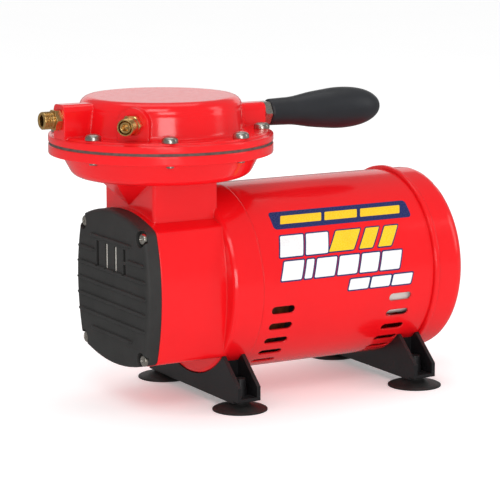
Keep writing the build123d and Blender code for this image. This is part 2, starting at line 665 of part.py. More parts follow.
def rocker_pin(radius, half):
    """Pin of the rocker, upright across the switch."""
    return rod_z(radius, SWITCH_Z - half, SWITCH_Z + half, ROCKER_PIVOT_X)


def rocker_button():
    """Rocker with two slanted faces on an upright pin, tilted to its off side."""
    y = SWITCH_HALF[0] - 3.4
    z = SWITCH_HALF[1] - 2.3
    top = CAP_END - 0.5
    face = [(top - 5.6, -y + 1.4), (top, -y), (top - 1, 0), (top, y), (top - 5.6, y - 1.4)]
    body = extrude(Plane.XY.offset(SWITCH_Z - z) * make_face(Polyline(*face, close=True)), 2 * z)
    body += rocker_pin(1.2, 8.6)
    return body.rotate(Axis((ROCKER_PIVOT_X, 0, 0), (0, 0, 1)), -ROCKER_TILT)


def cable_inlet_bush():
    """Rubber bush with a collar each side of the cap's wall."""
    y, z = INLET_PLACE
    wall = CAP_END - CAP_WALL - 1
    outline = [(wall - 2, 3.6), (wall - 2, 9), (wall, 9), (wall, INLET_R - FIT), (CAP_END, INLET_R - FIT)]
    outline += [(CAP_END, 9), (CAP_END + BUSH_COLLAR, 8.4), (CAP_END + BUSH_COLLAR, 3.6)]
    return Pos(0, y, z) * turned_x(outline)


def tie_bolts():
    """Four long bolts from the rear cap to the casting."""
    head = CAP_END - 10
    bolts = []
    for y, z in tie_places():
        bolt = rod_x(TIE_BOLT_R, SHIELD_FRONT + 7, head, y, z) + hex_x(7.0, head, head + 3, 0, y, z)
        bolts.append(bolt)
    return Compound(bolts)


def stator_core():
    """Laminated ring with winding slots and notches for the tie bolts."""
    core = ring_x(BORE_R - FIT, STATOR_BORE_R, *STACK)
    slot = block(STACK[0] - 1, STACK[1] + 1, STATOR_BORE_R - 1, 56, -2.2, 2.2)
    core -= [slot.rotate(Axis.X, 360 * (k + 0.5) / SLOT_COUNT) for k in range(SLOT_COUNT)]
    core -= [rod_x(TIE_BOLT_R + 0.6, STACK[0] - 1, STACK[1] + 1, y, z) for y, z in tie_places()]
    return core


def stator_windings():
    """Copper winding: a bundled ring at each end and one bar in each slot."""
    ends = []
    front_end, rear_end = STACK
    for x0, x1 in ((front_end - WINDING_OVERHANG, front_end - 0.2), (rear_end + 0.2, rear_end + WINDING_OVERHANG)):
        end = ring_x(59, 41, x0, x1)
        ends.append(fillet(end.edges().filter_by(GeomType.CIRCLE), 5.0))
    bar = block(STACK[0] - 1, STACK[1] + 1, 41, 55.5, -1.9, 1.9)
    bars = [bar.rotate(Axis.X, 360 * (k + 0.5) / SLOT_COUNT) for k in range(SLOT_COUNT)]
    return ends[0] + ends[1] + bars


def capacitor():
    """Motor run capacitor: a round can with a stepped terminal end."""
    x0, x1 = CAPACITOR_X
    body = fillet(rod_x(CAPACITOR_R, x0, x1).edges(), 1.5)
    body += rod_x(6, x1 - 1, x1 + 4)
    return place_capacitor(body)


def place_capacitor(shape):
    radius = BORE_R - CAPACITOR_R - 1.6
    angle = radians(CAPACITOR_ANGLE)
    return Pos(0, radius * cos(angle), radius * sin(angle)) * shape


def capacitor_clip():
    """Spring band round the can, with a foot on the tube's wall."""
    band = ring_x(CAPACITOR_R + 1.2, CAPACITOR_R + FIT, 134, 142)
    band -= block(130, 150, -30, -8, -30, 30).rotate(Axis.X, CAPACITOR_ANGLE)
    return place_capacitor(band)


def bearing(inner, outer, width, balls, x0, y=0.0, z=0.0):
    """Ball bearing as (outer ring, balls, inner ring), with its axis along X."""
    wall = (outer - inner) * 0.3
    mid = (outer + inner) / 2
    ball_r = (outer - inner) / 2 - wall + 0.9
    groove = Pos(x0 + width / 2, y, z) * Rot(0, 90, 0) * Torus(mid, ball_r + 0.06)
    outer_ring = ring_x(outer, outer - wall, x0, x0 + width, y, z) - groove
    inner_ring = ring_x(inner + wall, inner, x0, x0 + width, y, z) - groove
    ball = Pos(x0 + width / 2, mid, 0) * Sphere(ball_r)
    set_of_balls = [Pos(0, y, z) * ball.rotate(Axis.X, 360 * k / balls) for k in range(balls)]
    return outer_ring, Compound(set_of_balls), inner_ring


def motor_shaft():
    outline = [(-62, 0), (-62, SHAFT_R - 0.6), (-61.4, SHAFT_R), (FRONT_BEARING_X + BEARING_WIDTH, SHAFT_R)]
    outline += [(FRONT_BEARING_X + BEARING_WIDTH, COLLAR_R)]
    outline += [(REAR_BEARING_X, COLLAR_R), (REAR_BEARING_X, SHAFT_R)]
    outline += [(REAR_BEARING_X + BEARING_WIDTH + 1, SHAFT_R), (REAR_BEARING_X + BEARING_WIDTH + 1, 0)]
    return turned_x(outline)


def rotor_core():
    return ring_x(ROTOR_R, COLLAR_R, *STACK)


def rotor_cage():
    """Cast aluminium end rings of the rotor, with short fins."""
    rings = []
    for x0, x1, tip in ((STACK[1], STACK[1] + 6, STACK[1] + 12), (STACK[0] - 6, STACK[0], STACK[0] - 12)):
        ring = ring_x(ROTOR_R - 1.5, 24, x0, x1)
        fin = block(min(x0, tip), max(x1, tip), 27, 34, -1.2, 1.2)
        rings.append(ring + [fin.rotate(Axis.X, 30 * k) for k in range(12)])
    return Compound(rings)


def cooling_fan():
    """Radial fan: hub, back plate and straight blades."""
    x0, x1 = FAN_X
    body = ring_x(13, COLLAR_R, x0, x1) + ring_x(56, COLLAR_R, x1 - 2, x1)
    blade = block(x0 + 1, x1 - 1, 11, 57, -1.0, 1.0)
    return body + [blade.rotate(Axis.X, 360 * k / 11) for k in range(11)]


# Crank


def eccentric():
    """Eccentric with its bearing seat below the shaft and its counterweight above."""
    seat = rod_x(ECC_R, -56, ROD_X[1] + 0.5, 0, -CRANK)
    seat += rod_x(ECC_R + 2.5, ROD_X[1], -39, 0, -CRANK)
    seat += rod_x(14, -39.5, -31)
    weight = rod_x(36, -39.5, -31) & block(-40, -30, -36, 36, 3, 36)
    body = seat + weight
    body -= rod_x(SHAFT_R, -70, -20)
    body -= ring_x(ECC_R + 1, ECC_R - 1, -55.2, -54.1, 0, -CRANK)
    body -= rod_z(2.5 + FIT, -20, 0, -35.2)
    return body


def eccentric_set_screw():
    screw = rod_z(2.5, -13.6, -SHAFT_R - 0.05, -35.2)
    return screw - Pos(-35.2, 0, -13) * extrude(RegularPolygon(1.25, 6, major_radius=False), 3, both=True)


def bearing_circlip():
    clip = ring_x(ECC_R + 2, ECC_R - 0.9, -55.1, -54.2, 0, -CRANK)
    return clip - block(-56, -53, -3, 3, -CRANK - ECC_R - 4, -CRANK - 6)


def connecting_rod():
    """Big-end ring, waisted shank and a round flange under the piston plates."""
    x0, x1 = ROD_X
    body = rod_x(ROD_BEARING_R + 5, x0, x1, 0, -CRANK)
    shank = block(x0 + 1, x1 - 1, -8, 8, 18, PISTON_BOTTOM - 2)
    shank -= [block(a, b, -4.5, 4.5, 30, 86) for a, b in ((x0, x0 + 3.5), (x1 - 3.5, x1))]
    body += shank
    body += on_head(rod_z(17, PISTON_BOTTOM - 4.5, PISTON_BOTTOM))
    body -= rod_x(ROD_BEARING_R + 0.01, x0 - 1, x1 + 1, 0, -CRANK)
    body -= on_head(rod_z(4.0 + FIT, PISTON_BOTTOM - 16, PISTON_BOTTOM + 1))
    return body


def lower_piston_plate():
    z0, z1 = LOWER_PLATE
    plate = rod_z(PISTON_R, z0, z1) - rod_z(4.2, z0 - 1, z1 + 1) - rod_z(4.0, z0 - 1, z1 + 1, INTAKE_PORT_X)
    return on_head(plate)


def upper_piston_plate():
    """Dished disc with a pocket for the intake reed and a countersunk centre hole."""
    z0, z1 = UPPER_PLATE
    plate = rod_z(PISTON_R - 2, z0, z1)
    plate -= turned([(0, z0 - 1), (4.2, z0 - 1), (4.2, z1 - 3.6), (7.8, z1), (7.8, z1 + 1), (0, z1 + 1)])
    plate -= rod_z(4.0, z0 - 1, z1 + 1, INTAKE_PORT_X)
    half = REED_WIDTH / 2
    keeper = REED_KEEPER_X + REED_SHIFT
    tip = REED_TIP_X + REED_SHIFT
    plate -= block(keeper - 5, tip + 1, -half - 6, half + 6, REED_FLOOR, z1 + 1)
    plate -= block(keeper - 4.5, keeper, -half - 0.3, half + 0.3, REED_FLOOR - 0.6, REED_FLOOR + 1)
    for y in keeper_screw_y():
        plate -= rod_z(1.5, z0 - 1, z1, keeper - 2.2, y)
    return on_head(plate)


def piston_screw():
    """Countersunk centre screw through the plates and the diaphragm into the rod."""
    top = UPPER_PLATE[1]
    end = PISTON_BOTTOM - 15
    outline = [(0, top - 0.3), (7.3, top - 0.3), (4.0, top - 3.6), (4.0, end), (0, end)]
    screw = turned(outline)
    return on_head(screw - extrude(Plane.XY.offset(top - 3) * RegularPolygon(2.5, 6, major_radius=False), 4))


# Legs and feet


def leg(x):
    """Moulded leg: a saddle under the motor, open pockets towards its ends, round bosses over the cups."""
    half = LEG_SADDLE_HALF
    saddle_z = -sqrt((SHIELD_R + 0.1) ** 2 - half ** 2)
    outline = [(-half, saddle_z), (-LEG_HALF, LEG_SHOULDER_Z), (-LEG_HALF, LEG_END_Z)]
    outline += [(-LEG_HALF + 7.2, LEG_END_Z)]
    outline += [(-LEG_HALF + 7.2, LEG_BOTTOM), (LEG_HALF - 7.2, LEG_BOTTOM), (LEG_HALF - 7.2, LEG_END_Z)]
    outline += [(LEG_HALF, LEG_END_Z), (LEG_HALF, LEG_SHOULDER_Z), (half, saddle_z)]
    x0 = x - LEG_WIDTH / 2
    x1 = x + LEG_WIDTH / 2
    body = extrude(Plane.YZ.offset(x0) * make_face(Polyline(*outline, close=True)), LEG_WIDTH)
    pocket_floor = LEG_BOTTOM + 3.0
    for side in (-1, 1):
        y0, y1 = sorted((side * 46.0, side * (LEG_HALF + 1)))
        pocket = block(x0 + LEG_SIDE_WALL, x1 - LEG_SIDE_WALL, y0, y1, LEG_END_Z + 2.4, -40)
        body -= pocket
        cone = [(0, pocket_floor - 0.5), (5.6, pocket_floor - 0.5), (4.4, -66.5), (0, -66.5)]
        body += turned_at(cone, x, side * CUP_Y)
        body -= rod_z(3.0, LEG_BOTTOM - 1, LEG_BOTTOM + 10, x, side * CUP_Y)
    centre = block(x0 + LEG_SIDE_WALL, x1 - LEG_SIDE_WALL, -40, 40, LEG_BOTTOM - 1, -76.5)
    centre -= [block(x0, x1, y - 1.5, y + 1.5, LEG_BOTTOM - 2, -70) for y in (-20, 0, 20)]
    body -= centre
    seat = SHIELD_R if x < 0 else TUBE_R
    body -= rod_x(seat + 0.03, x0 - 1, x1 + 1)
    for y in LEG_SCREW_Y:
        body -= rod_z(2.2, LEG_BOTTOM - 1, -60, x, y)
    return body


def leg_screws():
    """Two pan-head screws up through each leg into the motor."""
    screws = []
    for x in LEG_X:
        for y in LEG_SCREW_Y:
            outline = [(0, -80.6), (3.6, -80.6), (4.0, -78.6), (4.0, -76.5)]
            outline += [(2.0, -76.5), (2.0, -66.0), (0, -66.0)]
            screws.append(turned_at(outline, x, y))
    return Compound(screws)


def suction_cup(x, y):
    """Moulded cup: thin lip on the floor, hollow underneath, stem with a barb into the leg."""
    floor = -AXIS_HEIGHT
    outline = [(0, floor + 3.2), (8, floor + 2.8), (15, floor + 1.4), (18.6, floor)]
    outline += [(CUP_R, floor), (CUP_R, floor + 1.0)]
    outline += [(19.0, floor + 1.9), (14, floor + 3.0), (9.0, floor + 4.2), (CUP_STEM_R, floor + 5.4)]
    outline += [(CUP_STEM_R, LEG_BOTTOM), (2.9, LEG_BOTTOM), (2.9, LEG_BOTTOM + 8), (0, LEG_BOTTOM + 8)]
    return turned_at(outline, x, y)


def pieces():
    """Every piece of the compressor, by node name."""
    made = {
        "crankcase": crankcase(),
        "cylinder_head": cylinder_head(),
        "diaphragm": diaphragm(),
        "valve_plate": valve_plate(),
        "valve_plate_screws": valve_plate_screws(),
        "outlet_reed": on_head(Rot(0, 0, 180) * reed_flap(VALVE_PLATE_Z[1])),
        "outlet_reed_keeper": on_head(Rot(0, 0, 180) * reed_keeper(VALVE_PLATE_Z[1])),
        "outlet_fitting": outlet_fitting(),
        "relief_valve_body": relief_valve_body(),
        "relief_ball": relief_ball(),
        "relief_spring": relief_spring(),
        "relief_adjusting_screw": relief_adjusting_screw(),
        "head_screws": head_screws(),
        "handle_stud": handle_stud(),
        "handle_nut": handle_nut(),
        "handle_grip": handle_grip(),
        "front_cover": front_cover(),
        "cover_screws": cover_screws(),
        "intake_filter": intake_filter(),
        "motor_tube": motor_tube(),
        "rear_cap": rear_cap(),
        "tie_bolts": tie_bolts(),
        "stator_core": stator_core(),
        "stator_windings": stator_windings(),
        "capacitor": capacitor(),
        "capacitor_clip": capacitor_clip(),
        "switch_housing": switch_housing(),
        "rocker_button": rocker_button(),
        "cable_inlet_bush": cable_inlet_bush(),
        "motor_shaft": motor_shaft(),
        "rotor_core": rotor_core(),
        "rotor_cage": rotor_cage(),
        "cooling_fan": cooling_fan(),
        "eccentric": eccentric(),
        "eccentric_set_screw": eccentric_set_screw(),
        "rod_bearing_circlip": bearing_circlip(),
        "connecting_rod": connecting_rod(),
        "lower_piston_plate": lower_piston_plate(),
        "upper_piston_plate": upper_piston_plate(),
        "piston_screw": piston_screw(),
        "intake_reed": on_head(Pos(REED_SHIFT, 0, 0) * reed_flap(REED_FLOOR)),
        "intake_reed_keeper": on_head(Pos(REED_SHIFT, 0, 0) * reed_keeper(REED_FLOOR)),
        "leg_screws": leg_screws(),
        "front_leg": leg(LEG_X[0]),
        "rear_leg": leg(LEG_X[1]),
    }
    made["outlet_reed_screws"] = on_head(Rot(0, 0, 180) * keeper_screws(VALVE_PLATE_Z[1], 3.6))
    made["intake_reed_screws"] = on_head(Pos(REED_SHIFT, 0, 0) * keeper_screws(REED_FLOOR, 1.3))
    bearings = {
        "front_bearing": (SHAFT_R, BEARING_R, BEARING_WIDTH, 8, FRONT_BEARING_X),
        "rear_bearing": (SHAFT_R, BEARING_R, BEARING_WIDTH, 8, REAR_BEARING_X),
        "rod_bearing": (ECC_R, ROD_BEARING_R, ROD_X[1] - ROD_X[0], 11, ROD_X[0], 0, -CRANK),
    }
    for name, sizes in bearings.items():
        for piece, shape in zip(("outer_ring", "balls", "inner_ring"), bearing(*sizes)):
            made[f"{name}_{piece}"] = shape
    for end, x in zip(("front", "rear"), LEG_X):
        for side, y in (("right", -CUP_Y), ("left", CUP_Y)):
            made[f"suction_cup_{end}_{side}"] = suction_cup(x, y)
    return made


def build():
    os.makedirs("parts", exist_ok=True)
    for node, shape in pieces().items():
        save(node, shape)


build()
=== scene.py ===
import json
from math import cos, pi, radians, sin, sqrt, tan, tau

import bmesh
import bpy
from bpy.props import FloatProperty, FloatVectorProperty, IntProperty, PointerProperty
from mathutils import Matrix, Vector


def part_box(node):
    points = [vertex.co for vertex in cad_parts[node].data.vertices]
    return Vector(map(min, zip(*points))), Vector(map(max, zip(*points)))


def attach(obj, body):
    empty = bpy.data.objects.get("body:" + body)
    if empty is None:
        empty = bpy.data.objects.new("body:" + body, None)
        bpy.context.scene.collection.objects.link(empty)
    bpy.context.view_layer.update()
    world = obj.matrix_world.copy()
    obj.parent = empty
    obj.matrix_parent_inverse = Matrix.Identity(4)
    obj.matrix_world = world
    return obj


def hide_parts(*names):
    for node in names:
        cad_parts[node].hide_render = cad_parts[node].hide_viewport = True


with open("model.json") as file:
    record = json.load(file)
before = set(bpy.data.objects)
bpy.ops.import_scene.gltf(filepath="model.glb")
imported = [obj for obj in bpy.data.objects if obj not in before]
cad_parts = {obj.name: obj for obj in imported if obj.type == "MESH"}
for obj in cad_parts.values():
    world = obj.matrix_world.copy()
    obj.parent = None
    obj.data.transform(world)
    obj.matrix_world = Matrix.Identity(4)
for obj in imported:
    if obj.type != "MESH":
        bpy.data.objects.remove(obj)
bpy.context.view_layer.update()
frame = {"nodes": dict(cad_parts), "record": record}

bl_info = {
    "name": "Diaphragm air compressor",
    "version": (1, 0, 0),
    "blender": (4, 5, 0),
    "location": "3D View > Sidebar > Compressor",
    "description": "Finishes and detailed pieces of a small direct-drive diaphragm air compressor",
    "category": "Object",
}

# Shapes are drawn in millimetres from the seam between casting and motor tube, on the motor axis:
# X to the rear, Z up. TO_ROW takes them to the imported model's metres.
MM = 0.001
TUBE_LOW, TUBE_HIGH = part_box("motor_tube")
SEAM = Vector((TUBE_LOW.x, 0, (TUBE_LOW.z + TUBE_HIGH.z) / 2))
TUBE_R = (TUBE_HIGH.z - TUBE_LOW.z) / 2 / MM
TO_ROW = Matrix.Translation(SEAM) @ Matrix.Scale(MM, 4)
HEAD_X = (sum(corner.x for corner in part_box("valve_plate")) / 2 - SEAM.x) / MM

# Head screws
SCREW_SEAT = 116.0
SCREW_TIP = 97.6
SCREW_CIRCLE_R = 76.3
SCREW_CIRCLE_START = 22.5

# Outlet fitting
OUTLET_Z = 128.6
FITTING_TIP = -146.4
FITTING_HEX = (-137.4, -132.0)
FITTING_FLATS = 14.5
FITTING_NOSE_R = 6.58
FITTING_BORE_R = 4.2
FITTING_INNER_END = -121.0

# Relief valve, along its own axis from the head's centre line
RELIEF_Z = 127.6
RELIEF_ANGLE = 225
VALVE_SEAT = 58.0
VALVE_HEX = (67.0, 73.0)
VALVE_FLATS = 13.8
VALVE_NOSE = (75.5, 85.0)
VALVE_NOSE_R = 6.3
VALVE_BORE_R = 5.0
VALVE_BORE_FLOOR = 74.0
SOCKET_FLATS = 4.8

# Front cover
COVER_BACK = -79.4
COVER_FACE = -91.0
COVER_SIDE = 60.2
COVER_TOP = 58.4
COVER_BOTTOM = -58.9
COVER_CORNER = (51.9, 48.0, -50.7)
COVER_CORNER_R = 8.0
COVER_SCREW_Y = 48.2
COVER_SCREW_Z = (43.3, -47.5)
POCKET_R = 6.2
POCKET_FLOOR = -87.0
SLOT_Y = (-22.5, -7.5, 7.5, 22.5)
SLOT_Z = (12.4, 32.0)
SLOT_BAR_Z = (20.5, 22.9)
LONG_RIBS_Z = (24.0, 12.0, -0.5, -12.5, -25.0)
SHORT_RIBS_Z = (35.5, -36.3)
SHORT_RIB_HALF = 34.0
RIB_END = 2.6
SLOT_RIB_Z = 24.0
SLOT_RIB_GAP = (-27.0, 27.0)
FILTER_FRAME = (17.0, 7.0, 37.0)
FILTER_WALL = 2.0
STRIP_FACE = -89.9          # the pad reaches this far into the middle slots
STRIP_HALF = 1.8

# Leg screws
LEG_X = (-14.6, 142.4)
LEG_SCREW_Y = (-10.0, 10.0)
LEG_SCREW_SEAT = -76.5
LEG_SCREW_TIP = -66.0

# Camera
CAMERA_TARGET = (29.0, 0, 17.5)
CAMERA_AZIMUTH = -29.66
CAMERA_ELEVATION = 10.19
CAMERA_DISTANCE = 1.7546
CAMERA_LENS = 163.0

# Brightness of the surroundings: behind the object, as light on it, in its reflections, and of the floor
WORLD_SEEN = 1.0
WORLD_DIFFUSE = 0.8
WORLD_MIRRORED = 0.25
FLOOR_GLOW = 0.22


def length(name, description, default):
    return FloatProperty(
        name=name, description=description, default=default, subtype="DISTANCE", unit="LENGTH")


def shade(name, description, default):
    return FloatVectorProperty(
        name=name, description=description, default=default, subtype="COLOR", min=0, max=1)


class CompressorSizes(bpy.types.PropertyGroup):
    rib_width: length("Rib width", "Thickness of the cover's ribs", 0.0026)
    rib_height: length("Rib height", "How far the ribs stand out of the cover", 0.0016)
    cover_edge: length("Cover edge", "Radius of the cover's rounded front edge", 0.003)
    cover_wall: length("Cover wall", "Thickness of the cover", 0.0025)
    slot_width: length("Slot width", "Width of the cover's air slots", 0.0042)
    outlet_pitch: length("Outlet thread pitch", "Pitch of the outlet's pipe thread", 0.001337)
    outlet_depth: length("Outlet thread depth", "Depth of the outlet's pipe thread", 0.0007)
    valve_pitch: length("Valve thread pitch", "Pitch of the thread on the relief valve's nose", 0.001)
    valve_depth: length("Valve thread depth", "Depth of the thread on the relief valve's nose", 0.0002)
    head_screws: IntProperty(
        name="Head screws", description="Screws round the head", default=8, min=3, max=16)
    recess_width: length("Recess width", "Width of each arm of a screw's cross recess", 0.0011)
    label_thickness: length("Label thickness", "Thickness of one layer of the label's film", 0.00008)
    label_outline: length("Label outline", "Width of the dark outline round the label's bars", 0.0011)


class CompressorFinishes(bpy.types.PropertyGroup):
    enamel: shade("Enamel", "Red of the castings, tube and rear cap", (0.82, 0.006, 0.010))
    cover: shade("Cover", "Charcoal of the front cover", (0.024, 0.0235, 0.0225))
    grip: shade("Grip", "Dark grey of the handle grip", (0.015, 0.0165, 0.020))
    legs: shade("Legs", "Black of the moulded legs and the switch", (0.0075, 0.007, 0.008))
    rubber: shade("Rubber", "Black of the cups and the cable bush", (0.008, 0.008, 0.008))
    brass: shade("Brass", "Yellow metal of the fittings", (0.80, 0.52, 0.20))
    zinc: shade("Zinc", "Plating of the screws and the nut", (0.56, 0.53, 0.48))
    felt: shade("Felt", "Off-white of the filter pad", (0.70, 0.67, 0.60))
    copper: shade("Copper", "Lacquered copper of the windings", (0.42, 0.13, 0.05))
    label_dark: shade("Label navy", "Dark ink of the label", (0.012, 0.022, 0.12))
    label_bright: shade("Label yellow", "Yellow ink of the label", (0.95, 0.58, 0.01))
    label_white: shade("Label white", "White ink of the label", (0.86, 0.86, 0.86))


# Node helpers, for shaders and geometry alike


def join(tree, node, values):
    """Sets a node's inputs: an output is linked in, and anything else is the input's own value."""
    for label, value in values.items():
        socket = node.inputs[label]
        if isinstance(value, bpy.types.NodeSocket):
            tree.links.new(value, socket)
        else:
            socket.default_value = value
    return node


def add(tree, kind, values=None, **settings):
    node = tree.nodes.new(kind)
    for name, value in settings.items():
        setattr(node, name, value)
    return join(tree, node, values or {})


def calc(tree, operation, first, second=0.0):
    """Output of one Math node."""
    return add(tree, "ShaderNodeMath", {0: first, 1: second}, operation=operation).outputs[0]


def noise(tree, place, scale, detail):
    values = {"Vector": place, "Scale": scale, "Detail": detail}
    return add(tree, "ShaderNodeTexNoise", values).outputs["Fac"]


def between(tree, value, low, high):
    """A noise value spread over the range from low to high."""
    limits = {"Value": value, "From Min": 0.3, "From Max": 0.7, "To Min": low, "To Max": high}
    return add(tree, "ShaderNodeMapRange", limits).outputs["Result"]


def new_group(kind, name, inputs, outputs):
    """Empty node group with its sockets, as (tree, what it is given, what it gives)."""
    tree = bpy.data.node_groups.new(name, kind)
    for label, socket in inputs:
        tree.interface.new_socket(label, in_out="INPUT", socket_type="NodeSocket" + socket)
    for label, socket in outputs:
        tree.interface.new_socket(label, in_out="OUTPUT", socket_type="NodeSocket" + socket)
    given = tree.nodes.new("NodeGroupInput").outputs
    return tree, given, tree.nodes.new("NodeGroupOutput")


# Shader effects shared by the finishes


def grain_effect():
    """Fine noise, as a roughness between two limits and as a height."""
    inputs = [("Place", "Vector"), ("Scale", "Float"), ("Low", "Float"), ("High", "Float")]
    outputs = [("Roughness", "Float"), ("Height", "Float")]
    tree, given, gives = new_group("ShaderNodeTree", "Grain", inputs, outputs)
    value = noise(tree, given["Place"], given["Scale"], 3.0)
    join(tree, gives, {"Roughness": between(tree, value, given["Low"], given["High"]), "Height": value})
    return tree


def mottle_effect():
    """Slow drift of a colour towards a tint."""
    inputs = [("Place", "Vector"), ("Scale", "Float"), ("Amount", "Float")]
    inputs += [("Colour", "Color"), ("Tint", "Color")]
    tree, given, gives = new_group("ShaderNodeTree", "Mottle", inputs, [("Colour", "Color")])
    value = noise(tree, given["Place"], given["Scale"], 4.0)
    spread = add(tree, "ShaderNodeMapRange", {"Value": value, "From Min": 0.35, "From Max": 0.65})
    share = calc(tree, "MULTIPLY", spread.outputs["Result"], given["Amount"])
    mixed = add(tree, "ShaderNodeMix", {0: share, 6: given["Colour"], 7: given["Tint"]}, data_type="RGBA")
    join(tree, gives, {"Colour": mixed.outputs[2]})
    return tree


def edge_effect():
    """Rounded look of an edge or a corner: its bent normal, and a mask of where it is."""
    outputs = [("Normal", "Vector"), ("Edge", "Float")]
    tree, given, gives = new_group("ShaderNodeTree", "Soft edge", [("Radius", "Float")], outputs)
    bent = add(tree, "ShaderNodeBevel", {"Radius": given["Radius"]}, samples=6).outputs["Normal"]
    straight = tree.nodes.new("ShaderNodeNewGeometry").outputs["Normal"]
    facing = add(tree, "ShaderNodeVectorMath", {0: bent, 1: straight}, operation="DOT_PRODUCT")
    turned_away = calc(tree, "SUBTRACT", 1.0, facing.outputs["Value"])
    mask = add(tree, "ShaderNodeMapRange", {"Value": turned_away, "From Min": 0.01, "From Max": 0.2})
    join(tree, gives, {"Normal": bent, "Edge": mask.outputs["Result"]})
    return tree


def dust_effect():
    """Mask of dust that has settled on what faces up."""
    inputs = [("Place", "Vector"), ("Scale", "Float"), ("Amount", "Float")]
    tree, given, gives = new_group("ShaderNodeTree", "Dust", inputs, [("Mask", "Float")])
    normal = tree.nodes.new("ShaderNodeNewGeometry").outputs["Normal"]
    upward = add(tree, "ShaderNodeSeparateXYZ", {"Vector": normal}).outputs["Z"]
    slope = {"Value": upward, "From Min": -0.1, "From Max": 1.0}
    level = add(tree, "ShaderNodeMapRange", slope).outputs["Result"]
    patches = calc(tree, "MULTIPLY", level, noise(tree, given["Place"], given["Scale"], 5.0))
    join(tree, gives, {"Mask": calc(tree, "MULTIPLY", patches, given["Amount"])})
    return tree


def streak_effect():
    """Noise drawn out along one direction, as tool marks or brushing leave it."""
    inputs = [("Place", "Vector"), ("Stretch", "Vector"), ("Scale", "Float")]
    inputs += [("Low", "Float"), ("High", "Float")]
    outputs = [("Roughness", "Float"), ("Height", "Float")]
    tree, given, gives = new_group("ShaderNodeTree", "Streaks", inputs, outputs)
    drawn = add(tree, "ShaderNodeVectorMath", {0: given["Place"], 1: given["Stretch"]}, operation="MULTIPLY")
    value = noise(tree, drawn.outputs[0], given["Scale"], 4.0)
    join(tree, gives, {"Roughness": between(tree, value, given["Low"], given["High"]), "Height": value})
    return tree


def ridge_effect():
    """Even ridges along a length, such as wires laid side by side or stacked sheets."""
    inputs = [("Along", "Float"), ("Spacing", "Float")]
    tree, given, gives = new_group("ShaderNodeTree", "Ridges", inputs, [("Height", "Float")])
    turns = calc(tree, "DIVIDE", given["Along"], given["Spacing"])
    wave = calc(tree, "SINE", calc(tree, "MULTIPLY", turns, tau))
    join(tree, gives, {"Height": calc(tree, "ABSOLUTE", wave)})
    return tree


EFFECTS = {
    "Grain": grain_effect,
    "Mottle": mottle_effect,
    "Soft edge": edge_effect,
    "Dust": dust_effect,
    "Streaks": streak_effect,
    "Ridges": ridge_effect,
}


def tinted(colour, factor):
    return tuple(min(1.0, part * factor) for part in colour)


def rgba(colour):
    return (*colour, 1.0)


class Finish:
    """A material being put together round its Principled shader."""

    def __init__(self, name, constants):
        self.material = bpy.data.materials.new(name)
        self.material.use_nodes = True
        self.tree = self.material.node_tree
        self.shader = join(self.tree, self.tree.nodes["Principled BSDF"], constants)
        self.place = self.tree.nodes.new("ShaderNodeTexCoord").outputs["Object"]

    def effect(self, name, values):
        """Outputs of a shared effect, placed in this material with its own values."""
        group = bpy.data.node_groups.get(name) or EFFECTS[name]()
        node = self.tree.nodes.new("ShaderNodeGroup")
        node.node_tree = group
        if "Place" in node.inputs:
            self.tree.links.new(self.place, node.inputs["Place"])
        return join(self.tree, node, values).outputs

    def mottled(self, colour, tint, scale, amount):
        values = {"Colour": rgba(colour), "Tint": rgba(tint), "Scale": scale, "Amount": amount}
        return self.effect("Mottle", values)["Colour"]

    def mixed(self, share, first, second):
        """Mix of two colours, where either may be an output or a plain colour."""
        node = add(self.tree, "ShaderNodeMix", {0: share}, data_type="RGBA")
        return join(self.tree, node, {6: first, 7: second}).outputs[2]

    def colour(self, output):
        self.tree.links.new(output, self.shader.inputs["Base Color"])

    def roughness(self, output):
        self.tree.links.new(output, self.shader.inputs["Roughness"])

    def relief(self, height, strength, distance, edge=None):
        """Bump from a height, on top of a soft edge where one is given."""
        values = {"Height": height, "Strength": strength, "Distance": distance}
        bump = add(self.tree, "ShaderNodeBump", values)
        if edge is not None:
            self.tree.links.new(edge, bump.inputs["Normal"])
        self.tree.links.new(bump.outputs["Normal"], self.shader.inputs["Normal"])


def enamel(colours):
    """Sprayed red enamel: even gloss, faint orange peel, and edges painted a lighter red, for thinner paint
    there and as a painted highlight.
    """
    finish = Finish("Red enamel", {"Specular IOR Level": 0.5, "Coat Weight": 0.15, "Coat Roughness": 0.04})
    base = finish.mottled(colours.enamel, tinted(colours.enamel, 0.9), 18.0, 0.5)
    edge = finish.effect("Soft edge", {"Radius": 0.0016})
    # Edges painted a lighter red: thinner paint there, and a painted highlight along them.
    thin_coat_and_painted_highlight = calc(finish.tree, "MULTIPLY", edge["Edge"], 0.12)
    finish.colour(finish.mixed(thin_coat_and_painted_highlight, base, rgba((0.93, 0.09, 0.08))))
    peel = finish.effect("Grain", {"Scale": 260.0, "Low": 0.13, "High": 0.19})
    finish.roughness(peel["Roughness"])
    finish.relief(peel["Height"], 0.04, 0.0002, edge["Normal"])
    return finish.material


def moulded(name, colour, scale, low, high, depth, dust):
    """Moulded plastic with a spark-eroded texture, soft edges painted lighter for wear and as a painted
    highlight, and a little dust.
    """
    finish = Finish(name, {"Specular IOR Level": 0.4})
    base = finish.mottled(colour, tinted(colour, 1.35), 60.0, 0.6)
    mask = finish.effect("Dust", {"Scale": 90.0, "Amount": dust})["Mask"]
    edge = finish.effect("Soft edge", {"Radius": 0.0006})
    # Edges painted lighter: wear, and a painted highlight.
    worn_and_highlit = calc(finish.tree, "MULTIPLY", edge["Edge"], 0.35)
    lit = finish.mixed(worn_and_highlit, base, rgba(tinted(colour, 2.0)))
    finish.colour(finish.mixed(mask, lit, rgba((0.30, 0.29, 0.28))))
    skin = finish.effect("Grain", {"Scale": scale, "Low": low, "High": high})
    finish.roughness(skin["Roughness"])
    finish.relief(skin["Height"], depth, 0.0002, edge["Normal"])
    return finish.material


